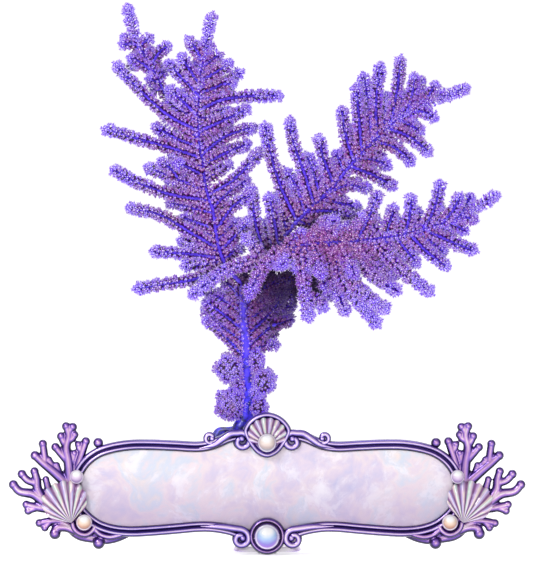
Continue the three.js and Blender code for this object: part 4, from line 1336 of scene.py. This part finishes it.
def run_together(name, shapes, voxel, smoothing):
    """One skin over overlapping shapes: a voxel remesh, then smoothing, both applied."""
    points, quads, triangles = gather_by_kind(shapes)
    mesh = bpy.data.meshes.new(name)
    mesh.from_pydata(points.tolist(), [], quads.tolist() + triangles.tolist())
    made = bpy.data.objects.new(name, mesh)
    scene.collection.objects.link(made)
    remesh = made.modifiers.new("skin", "REMESH")
    remesh.mode = "VOXEL"
    remesh.voxel_size = voxel
    soften = made.modifiers.new("soften", "SMOOTH")
    soften.factor = 0.5
    soften.iterations = smoothing
    skin = bpy.data.meshes.new_from_object(made.evaluated_get(bpy.context.evaluated_depsgraph_get()))
    bpy.data.objects.remove(made)
    bpy.data.meshes.remove(mesh)
    points = np.empty(len(skin.vertices) * 3)
    skin.vertices.foreach_get("co", points)
    corners = np.empty(len(skin.loops), np.int32)
    skin.loops.foreach_get("vertex_index", corners)
    bpy.data.meshes.remove(skin)
    return points.reshape(-1, 3), corners.reshape(-1, 4)


def gather_by_kind(shapes):
    """Several shapes as one array of points, one of quads and one of triangles."""
    points, *faces = gather(shapes)
    quads = np.vstack([array for array in faces if array.shape[1] == 4])
    triangles = np.vstack([array for array in faces if array.shape[1] == 3])
    return points, quads, triangles


# %% [markdown]
# The finish of the casting is mirror-bright violet. Its pink and white crests are painted highlights
# and its grooves and flanks painted shade: a face that looks forwards is painted light and one that
# turns away is painted dark, whatever the camera sees, so the mask reads the surface's own direction
# in the object.

# %% Casting finish
def casting_finish(name, deep, middle, light, crest_highlight):
    """Painted shade on the flanks, colour in between and a painted highlight where a face looks
    forwards, with painted cool light below and rosy light above. The painted light level is the
    fourth power of how far a face looks forwards, plus a little of how far it looks up."""
    made, tree, shader = finish(name, Metallic=0.35, Coat_Weight=0.5, Coat_Roughness=0.12)
    front, rise = facing(tree)
    wander = math(tree, "MULTIPLY_ADD", noise(tree, 45.0, 2.0), 0.2, -0.1)
    # Painted light level: how far a face looks forwards, to the fourth power, plus some of how far it
    # looks up.
    steep = math(tree, "MULTIPLY", math(tree, "POWER", front, 4.0), 0.62)
    painted_light_level = math(tree, "MULTIPLY_ADD", rise, 0.36, steep)
    painted_light_level = math(tree, "ADD", painted_light_level, wander, clamp=True)
    # The darkest stop is painted shade on the flanks, and the two lightest are painted highlights.
    base = ramp(tree, painted_light_level, (0.26, deep), (0.46, middle), (0.66, light), (0.77, crest_highlight), (0.84, "FFF4FA"))
    cool = ramp(tree, noise(tree, 18.0, 1.0), (0.35, "7C7CE0"), (0.65, "B57CC0"))
    # Painted light from above: faces that look down are bluer and darker, and faces that look up are
    # rosier.
    painted_light_from_above = ramp(tree, rise, (0.0, "6A62D2"), (0.5, "FFFFFF"), (1.0, "FFE9F4"))
    base = blend(tree, 0.28, base, cool, "OVERLAY")
    base = blend(tree, 0.6, base, painted_light_from_above, "MULTIPLY")
    paint(tree, shader, base)
    rough = math(tree, "MULTIPLY_ADD", noise(tree, 120.0, 3.0), 0.22, 0.12)
    tree.links.new(rough, shader.inputs["Roughness"])
    bump(tree, shader, noise(tree, 420.0, 2.0), 0.12, 0.0002)
    return made


CASTING = casting_finish("violet casting", "1A0838", "543490", "9A72C4", "DEB8DC")
RIM_CASTING = casting_finish("violet rim casting", "220E48", "6A52B0", "B8A2E0", "F2DEF6")

scrolls = [part for side in (1, -1) for item in SCROLLS for part in scroll(item, side)]
new_piece("plaque_rim", rim, RIM_CASTING, ["plaque_frame"], sharp=60)
new_piece("shell_arch", arch, RIM_CASTING, ["plaque_frame"], sharp=60)
new_piece("rim_scrolls", gather(scrolls), RIM_CASTING, ["plaque_frame"])
# The web's near-black violet is painted shade inside each scroll's eye.
WEB = casting_finish("shaded web", "120428", "1C0A3C", "2A1450", "38205E")
webs = [web(item, side) for side in (1, -1) for item in SCROLLS]
new_piece("scroll_webs", gather(webs), WEB, ["plaque_frame"])

for hand, side in (("left", 1), ("right", -1)):
    wing = [bar(side=side, **item) for item in WING_BARS]
    wing += [bead(place([item["at"]], KNOB_DEPTH, side)[0], item["radius"] * MM) for item in KNOBS]
    skin = run_together("wing", wing, voxel=0.42 * MM, smoothing=3)
    new_piece(hand + "_wing", skin, CASTING, ["plaque_frame"])
    twigs = [part for item in SPRIGS for part in sprig(side=side, **item)]
    twigs += [bar(item["route"], BOSS_DEPTH, item["size"] * BOSS_SHARE, side) for item in BOSS_BARS]
    skin = run_together("sprigs", twigs, voxel=0.4 * MM, smoothing=2)
    new_piece(hand + "_sprigs", skin, CASTING, [hand + "_coral_sprigs"])

# %% [markdown]
# The lower medallion is turned: a profile spun about the line that points to the viewer. It has a
# bright hoop round a dark groove, and the large pearl sits inside the groove.

# %% Turned medallion
MEDALLION = {"at": [267.1, 535.6], "radius": 10.8}
# Share of the radius, then depth in mm
MEDALLION_PROFILE = [
    [0.0, -6.9], [0.62, -6.9], [0.7, -7.1], [0.75, -8.1], [0.83, -8.9], [0.91, -8.5], [0.97, -7.4],
    [1.0, -6.0], [1.0, -2.0], [0.97, 2.0], [0.93, 3.5], [0.0, 3.5],
]


TURNED_STEP = 0.3


def turned(at, radius, profile, columns=96, side=1):
    """Each profile point becomes a circle of its radius at its depth, and the two ends close."""
    centre = place([at], 0.0, side)[0]
    points = smooth_profile(np.asarray(profile, float) * [radius, 1], TURNED_STEP)[1:-1]
    turn = np.linspace(0, 2 * np.pi, columns, endpoint=False)[None]
    reach = points[:, :1] * MM
    rows = np.stack([
        centre[0] + reach * np.cos(turn),
        np.broadcast_to(PLAQUE_Y + points[:, 1:2] * MM, (len(points), columns)),
        centre[2] + reach * np.sin(turn),
    ], -1)
    poles = [[centre[0], PLAQUE_Y + depth * MM, centre[2]] for depth in (profile[0][1], profile[-1][1])]
    quads = ring_quads(len(points), columns)[:, ::-1]
    caps = end_caps(len(points), columns)[:, ::-1]
    return np.vstack([rows.reshape(-1, 3), poles]), quads, caps


new_piece("pearl_medallion", turned(profile=MEDALLION_PROFILE, **MEDALLION), CASTING,
          ["plaque_frame"], sharp=60)

# %% [markdown]
# The panel is an inlay of mother of pearl: pale lilac with soft clouds of white, sky and peach, and
# a satin gloss. Its colour comes from broad noise that is bent by more noise, as the layers of a
# shell are. The inlay itself is a low cushion whose front rounds over at the edge.

# %% Nacre finish and panel
def nacre_group():
    """Cloudy mother of pearl: noise bent by noise picks a pastel, and veils of white lie over it."""
    group = bpy.data.node_groups.new("nacre", "ShaderNodeTree")
    group.interface.new_socket("Scale", in_out="INPUT", socket_type="NodeSocketFloat")
    group.interface.new_socket("Color", in_out="OUTPUT", socket_type="NodeSocketColor")
    group.interface.new_socket("Cloud", in_out="OUTPUT", socket_type="NodeSocketFloat")
    entry = group.nodes.new("NodeGroupInput")
    out = group.nodes.new("NodeGroupOutput")
    spot = {0: node(group, "TexCoord").outputs["Object"], 3: entry.outputs["Scale"]}
    scaled = node(group, "VectorMath", spot, operation="SCALE").outputs[0]
    layers = {0: scaled, 1: noise(group, 1.0, 3.0, scaled)}
    bent = node(group, "VectorMath", layers, operation="ADD").outputs[0]
    phase = noise(group, 1.7, 4.0, bent, 0.6)
    pastels = ("D0CEEA", "E6DAEA", "F3E6EA", "DCE4F0", "F7EAE4")
    pastel = ramp(group, phase, *zip((0.3, 0.42, 0.5, 0.58, 0.7), pastels))
    veil = noise(group, 2.6, 5.0, bent, 0.65)
    veil = fade(group, veil, 0.48, 0.7)
    group.links.new(blend(group, veil, pastel, colour("FDFBFE")), out.inputs["Color"])
    group.links.new(veil, out.inputs["Cloud"])
    return group


NACRE = nacre_group()


def nacre(tree, scale):
    """The nacre group at a given fineness: its colour and its clouds."""
    made = tree.nodes.new("ShaderNodeGroup")
    made.node_tree = NACRE
    made.inputs["Scale"].default_value = scale
    return made.outputs["Color"], made.outputs["Cloud"]


def panel_finish():
    """The nacre's colour times a grey of painted shade that is deeper towards the lower edge. Clouds are
    rougher.
    """
    made, tree, shader = finish("nacre panel", Coat_Weight=0.35, Coat_Roughness=0.15)
    clouds, veil = nacre(tree, 22.0)
    # Painted shade: a grey that deepens towards the panel's lower edge.
    fall = ramp(tree, fade(tree, coordinate(tree, "Z"), 0.015, 0.05), (0.0, "C6BCD2"), (1.0, "FAF8FA"))
    paint(tree, shader, blend(tree, 1.0, clouds, fall, "MULTIPLY"))
    tree.links.new(math(tree, "MULTIPLY_ADD", veil, 0.2, 0.2), shader.inputs["Roughness"])
    bump(tree, shader, veil, 0.15, 0.0003)
    return made


PANEL_FRONT = -5.2
# The rounded edge: share of the way to the middle line, and height in mm over the panel's front
EDGE_SHARES = [0.0, 0.004, 0.012, 0.025]
EDGE_RISES = [-1.6, -0.5, -0.15, 0.0]
CROWN = 0.35


def cushion_panel(outline, front, back, rounds):
    """Rings shrink from the outline to its middle line. The front rounds over at the edge and
    rises by a hair towards the middle, and the back is flat."""
    middle_z = (outline[:, 2].min() + outline[:, 2].max()) / 2
    half = np.abs(outline[:, 0]).max() - 0.5 * (outline[:, 2].max() - outline[:, 2].min())
    spine = outline.copy()
    spine[:, 0] = np.clip(outline[:, 0], -half, half)
    spine[:, 2] = middle_z
    share = np.concatenate([EDGE_SHARES, np.linspace(0.06, 0.97, rounds)])
    rise = np.concatenate([EDGE_RISES, CROWN * np.sin(np.linspace(0.05, np.pi / 2, rounds))])
    rows = outline[None] + share[:, None, None] * (spine - outline)[None]
    rows[:, :, 1] = PLAQUE_Y + (front - rise[:, None]) * MM
    count = len(outline)
    rear = outline.copy()
    rear[:, 1] = PLAQUE_Y + back * MM
    points = np.vstack([rear, rows.reshape(-1, 3)])
    quads = ring_quads(len(share) + 1, count)
    around = np.arange(count)[None]
    return points, quads, around[:, ::-1], around + len(share) * count


NACRE_PANEL = panel_finish()
inlay_outline = smooth_route(mirrored(PANEL_EDGE), 1.4 * MM, closed=True)
inlay = cushion_panel(inlay_outline, PANEL_FRONT, PLATE_FRONT, rounds=14)
new_piece("nacre_panel", inlay, NACRE_PANEL, ["name_panel"], sharp=50)

# %% [markdown]
# A scallop is a fan of ribs over a domed back. Its surface runs by two numbers: the bearing from the
# hinge and the share of the way out. A cosine of the bearing raises the ribs and scallops the rim.

# %% Shells
SHELLS = {
    "top": {
        "hinge": [267.1, 445], "opens": 0, "spread": 80, "reach": 16.0, "narrow": 0.42, "ribs": 10,
        "rise": 4.2,
    },
    "side": {
        "hinge": [72, 522], "opens": -18, "spread": 62, "reach": 24.8, "narrow": 0.54, "ribs": 10,
        "rise": 6.0,
    },
}
SEAT_FRONT = MEDALLION_FRONT - 0.3


def scallop(hinge, opens, spread, reach, narrow, ribs, rise, side=1, rows=44, columns=200):
    """Height over the seat is a low edge, plus the rise times the root of the way out times one
    minus its cube, plus the ribs, which grow outwards, plus faint growth rings. The reach shrinks
    towards the sides. The back is flat and closes at the rim."""
    turn = np.linspace(-1, 1, columns)[:, None]
    out = np.linspace(0, 1, rows)[None] ** 0.8
    bearing = np.radians(opens + spread * turn)
    ridge = (0.5 - 0.5 * np.cos(np.pi * ribs * (turn + 1))) ** 0.7
    edge = reach * (1 - narrow * np.abs(turn) ** 2.5) * (0.96 + 0.05 * ridge)
    dome = rise * np.sqrt(out) * (1 - out**3) * (1 - 0.6 * turn**2)
    rings = 0.12 * np.cos(out * 26) * out
    height = 0.8 + dome + (0.35 + 0.55 * out) * out**0.5 * (ridge - 0.5) + rings
    origin = place([hinge], SEAT_FRONT, side)[0]
    front = np.stack(np.broadcast_arrays(
        origin[0] + side * edge * out * np.sin(bearing) * MM,
        origin[1] - height * MM,
        origin[2] + edge * out * np.cos(bearing) * MM,
    ), -1)
    rear = front.copy()
    rear[..., 1] = origin[1]
    loop = np.concatenate([
        np.arange(rows), np.arange(1, columns) * rows + rows - 1,
        (columns - 1) * rows + np.arange(rows - 2, -1, -1), np.arange(columns - 2, 0, -1) * rows,
    ])
    after = np.roll(loop, -1)
    size = rows * columns
    sheet = grid_quads(columns, rows)
    wall = np.column_stack([loop, after, after + size, loop + size])
    faces = np.vstack([sheet[:, ::-1], sheet + size, wall])
    if side > 0:
        faces = faces[:, ::-1]
    fields = {
        field: np.tile(np.broadcast_to(values, (columns, rows)).ravel(), 2)
        for field, values in (("out", out), ("rib", ridge), ("turn", turn))
    }
    return (np.vstack([front.reshape(-1, 3), rear.reshape(-1, 3)]), faces), fields


def shell_finish():
    """Bands of colour run round by the bearing and some noise. Grooves get painted shade, darkest near the
    hinge, and the ribs' tops painted white highlights.
    """
    made, tree, shader = finish(
        "iridescent shell", Roughness=0.28, Coat_Weight=0.6, Coat_Roughness=0.1,
    )
    rib = attribute(tree, "rib")
    wander = math(tree, "MULTIPLY", noise(tree, 90.0), 1.4)
    sweep = math(tree, "FRACT", math(tree, "MULTIPLY_ADD", attribute(tree, "turn"), 3.1, wander))
    lustres = ("E2C4DA", "B8D6C8", "EAD0CA", "C49CD2", "AEA8DE", "E2C4DA")
    bands = ramp(tree, sweep, *zip((0.0, 0.25, 0.45, 0.65, 0.85, 1.0), lustres))
    out = attribute(tree, "out")
    # Painted shade in the grooves between the ribs, darkest near the hinge.
    groove_shade = ramp(tree, out, (0.1, "3A164A"), (0.6, "6E3A78"), (1.0, "8E5A94"))
    base = blend(tree, fade(tree, rib, 0.14, 0.7), groove_shade, bands)
    # Painted highlights: near-white flecks on the tops of the ribs.
    crest_highlight = math(tree, "MULTIPLY", fade(tree, rib, 0.9, 1.0), noise(tree, 60.0))
    paint(tree, shader, blend(tree, crest_highlight, base, colour("FFF8FC")))
    return made


SHELL = shell_finish()
for name, key, side in (("top_shell", "top", 1), ("left_shell", "side", 1), ("right_shell", "side", -1)):
    shape, fields = scallop(side=side, **SHELLS[key])
    new_piece(name + "_ribs", shape, SHELL, [name], fields)

# %% [markdown]
# Pearls are near-round, so a turned profile is right. Their lustre is painted light in rings: a
# painted white highlight above, a warm or violet body and a cooler rim, with a painted dark outline
# and a pale painted reflection at the edge. The surface's own direction picks the ring.

# %% Pearls
PEARLS = {
    "top": {"at": [267.1, 442], "radius": 5.5, "tones": ("8C9CA6", "BCA6A2", "E6D6CC", "FFFFFF")},
    "bottom": {"at": [267.1, 535.6], "radius": 7.3, "tones": ("9A50D8", "8E84D8", "AECCEE", "FFFFFF")},
    "upper": {"at": [77.4, 476], "radius": 4.1, "tones": ("6E5490", "A98ABC", "DCC8E0", "FFFFFF")},
    "lower": {"at": [85, 521.4], "radius": 4.7, "tones": ("8E6460", "C8967C", "EED4BC", "FFFFFF")},
}


def pearl_profile(radius):
    """A ball's outline from its front pole to the seat: share of the radius, then depth in mm."""
    angle = np.radians(np.linspace(0, 125, 26))
    centre = SEAT_FRONT + radius * np.cos(angle[-1])
    depth = centre - radius * np.cos(angle)
    ball = np.column_stack([np.sin(angle), depth])
    return np.vstack([ball, [0.0, depth[-1]]])


def pearl_finish(name, low, body, light, white):
    """Four tones by how far the surface looks up and forwards, which paint the pearl's light and shade up
    to a white highlight, with a painted ring near the edge: a dark outline, a pale reflection and grey.
    """
    made, tree, shader = finish(name, Roughness=0.12, Coat_Weight=0.8, Coat_Roughness=0.05)
    front, rise = facing(tree)
    lift = math(tree, "MULTIPLY_ADD", rise, 0.75, -0.35)
    lustre = math(tree, "MULTIPLY_ADD", front, 0.55, lift)
    lustre = math(tree, "ADD", lustre, math(tree, "MULTIPLY_ADD", noise(tree, 130.0), 0.1, -0.05))
    # Painted light and shade: the low tone where a face looks down or away, and the white tone a painted
    # highlight.
    base = ramp(tree, lustre, (0.02, low), (0.3, body), (0.52, light), (0.66, white))
    # Painted rim: a dark outline at the very edge, then a pale reflection, then grey.
    ring = ramp(tree, front, (0.2, "4A3266"), (0.36, "E8E0F0"), (0.48, "F4EEF8"), (0.6, "B8A8C4"))
    edge = math(tree, "MULTIPLY", fade(tree, front, 0.7, 0.5), 0.8)
    paint(tree, shader, blend(tree, edge, base, ring))
    return made


PEARL_PLACES = [
    ("top_pearl", "top", 1), ("bottom_pearl", "bottom", 1), ("left_upper_pearl", "upper", 1),
    ("right_upper_pearl", "upper", -1), ("left_lower_pearl", "lower", 1),
    ("right_lower_pearl", "lower", -1),
]
for name, key, side in PEARL_PLACES:
    pearl = PEARLS[key]
    lustre = pearl_finish(name + " lustre", *pearl["tones"])
    profile = pearl_profile(pearl["radius"])
    shape = turned(pearl["at"], pearl["radius"], profile, columns=64, side=side)
    new_piece(name + "_ball", shape, lustre, [name])

# %% [markdown]
# The plinth stands behind the plaque. It isn't seen from the front, so its form is a guess: a neck
# that rises from a wide foot and opens like a cup under the holdfast, fluted behind. It is lofted
# from rounded rectangles, whose corners come from a power of the cosine and the sine.

# %% Plinth
# In mm: height, then half width
PLINTH_LEVELS = [
    [0.0, 5.8], [3.0, 5.8], [8.0, 6.3], [20.0, 13.2], [34.0, 22.0], [47.0, 32.6], [55.0, 35.6],
    [60.5, 36.0], [62.0, 35.2],
]
PLINTH_FRONT = 4.3
PLINTH_BACK = 34.0
FOOT = {"half_width": 20.0, "front": 20.0, "back": 60.0}
# In mm: height, then how far the side stands in from the widest part
FOOT_PROFILE = [[0.0, 0.6], [0.5, 0.0], [1.3, 0.1], [1.9, 0.6], [2.4, 0.9], [2.8, 1.5], [3.0, 2.3]]


FLUTES = 26


def rounded_loop(half_x, half_y, power, count, flutes):
    """Points round a rounded rectangle. Flutes are a wave of the bearing on its rear half, as deep
    as a share of the half width."""
    turn = np.linspace(0, 2 * np.pi, count, endpoint=False)
    x = half_x * np.sign(np.cos(turn)) * np.abs(np.cos(turn)) ** power
    y = half_y * np.sign(np.sin(turn)) * np.abs(np.sin(turn)) ** power
    wave = 1 - flutes * np.clip(np.sin(turn), 0, 1) ** 0.5 * (0.5 + 0.5 * np.cos(FLUTES * turn))
    return np.column_stack([x * wave, y * wave])


def lofted(levels, middle, half_y, power, count, flutes):
    """A closed solid of loops stacked by height, each as wide as its level says."""
    rings = []
    for height, half_width in levels:
        x, y = (rounded_loop(half_width, half_y, power, count, flutes) * MM).T
        rings.append(np.column_stack([x, middle * MM + PLAQUE_Y + y, np.full(count, height * MM)]))
    around = np.arange(count)[None]
    top = around + (len(rings) - 1) * count
    return np.vstack(rings), ring_quads(len(rings), count), around[:, ::-1], top


half_deep = (PLINTH_BACK - PLINTH_FRONT) / 2
column_levels = smooth_profile(PLINTH_LEVELS, 1.0)
column_middle = PLINTH_FRONT + half_deep
column = lofted(column_levels, column_middle, half_deep, power=0.45, count=208, flutes=0.05)
foot_half = (FOOT["back"] - FOOT["front"]) / 2
foot_levels = [[height, FOOT["half_width"] - inset] for height, inset in FOOT_PROFILE]
foot_middle = FOOT["front"] + foot_half
foot = lofted(foot_levels, foot_middle, foot_half - 0.2, power=0.5, count=160, flutes=0.0)
PLINTH_CASTING = casting_finish("plinth casting", "1E0E40", "3E2478", "6A4AA4", "A98BD0")
new_piece("plinth_column", column, PLINTH_CASTING, ["plinth"], sharp=40)
PALE_CASTING = casting_finish("pale plinth foot", "D2C8E2", "E8E0F0", "F4F0F8", "FFFFFF")
new_piece("plinth_foot", foot, PALE_CASTING, ["plinth"], sharp=40)
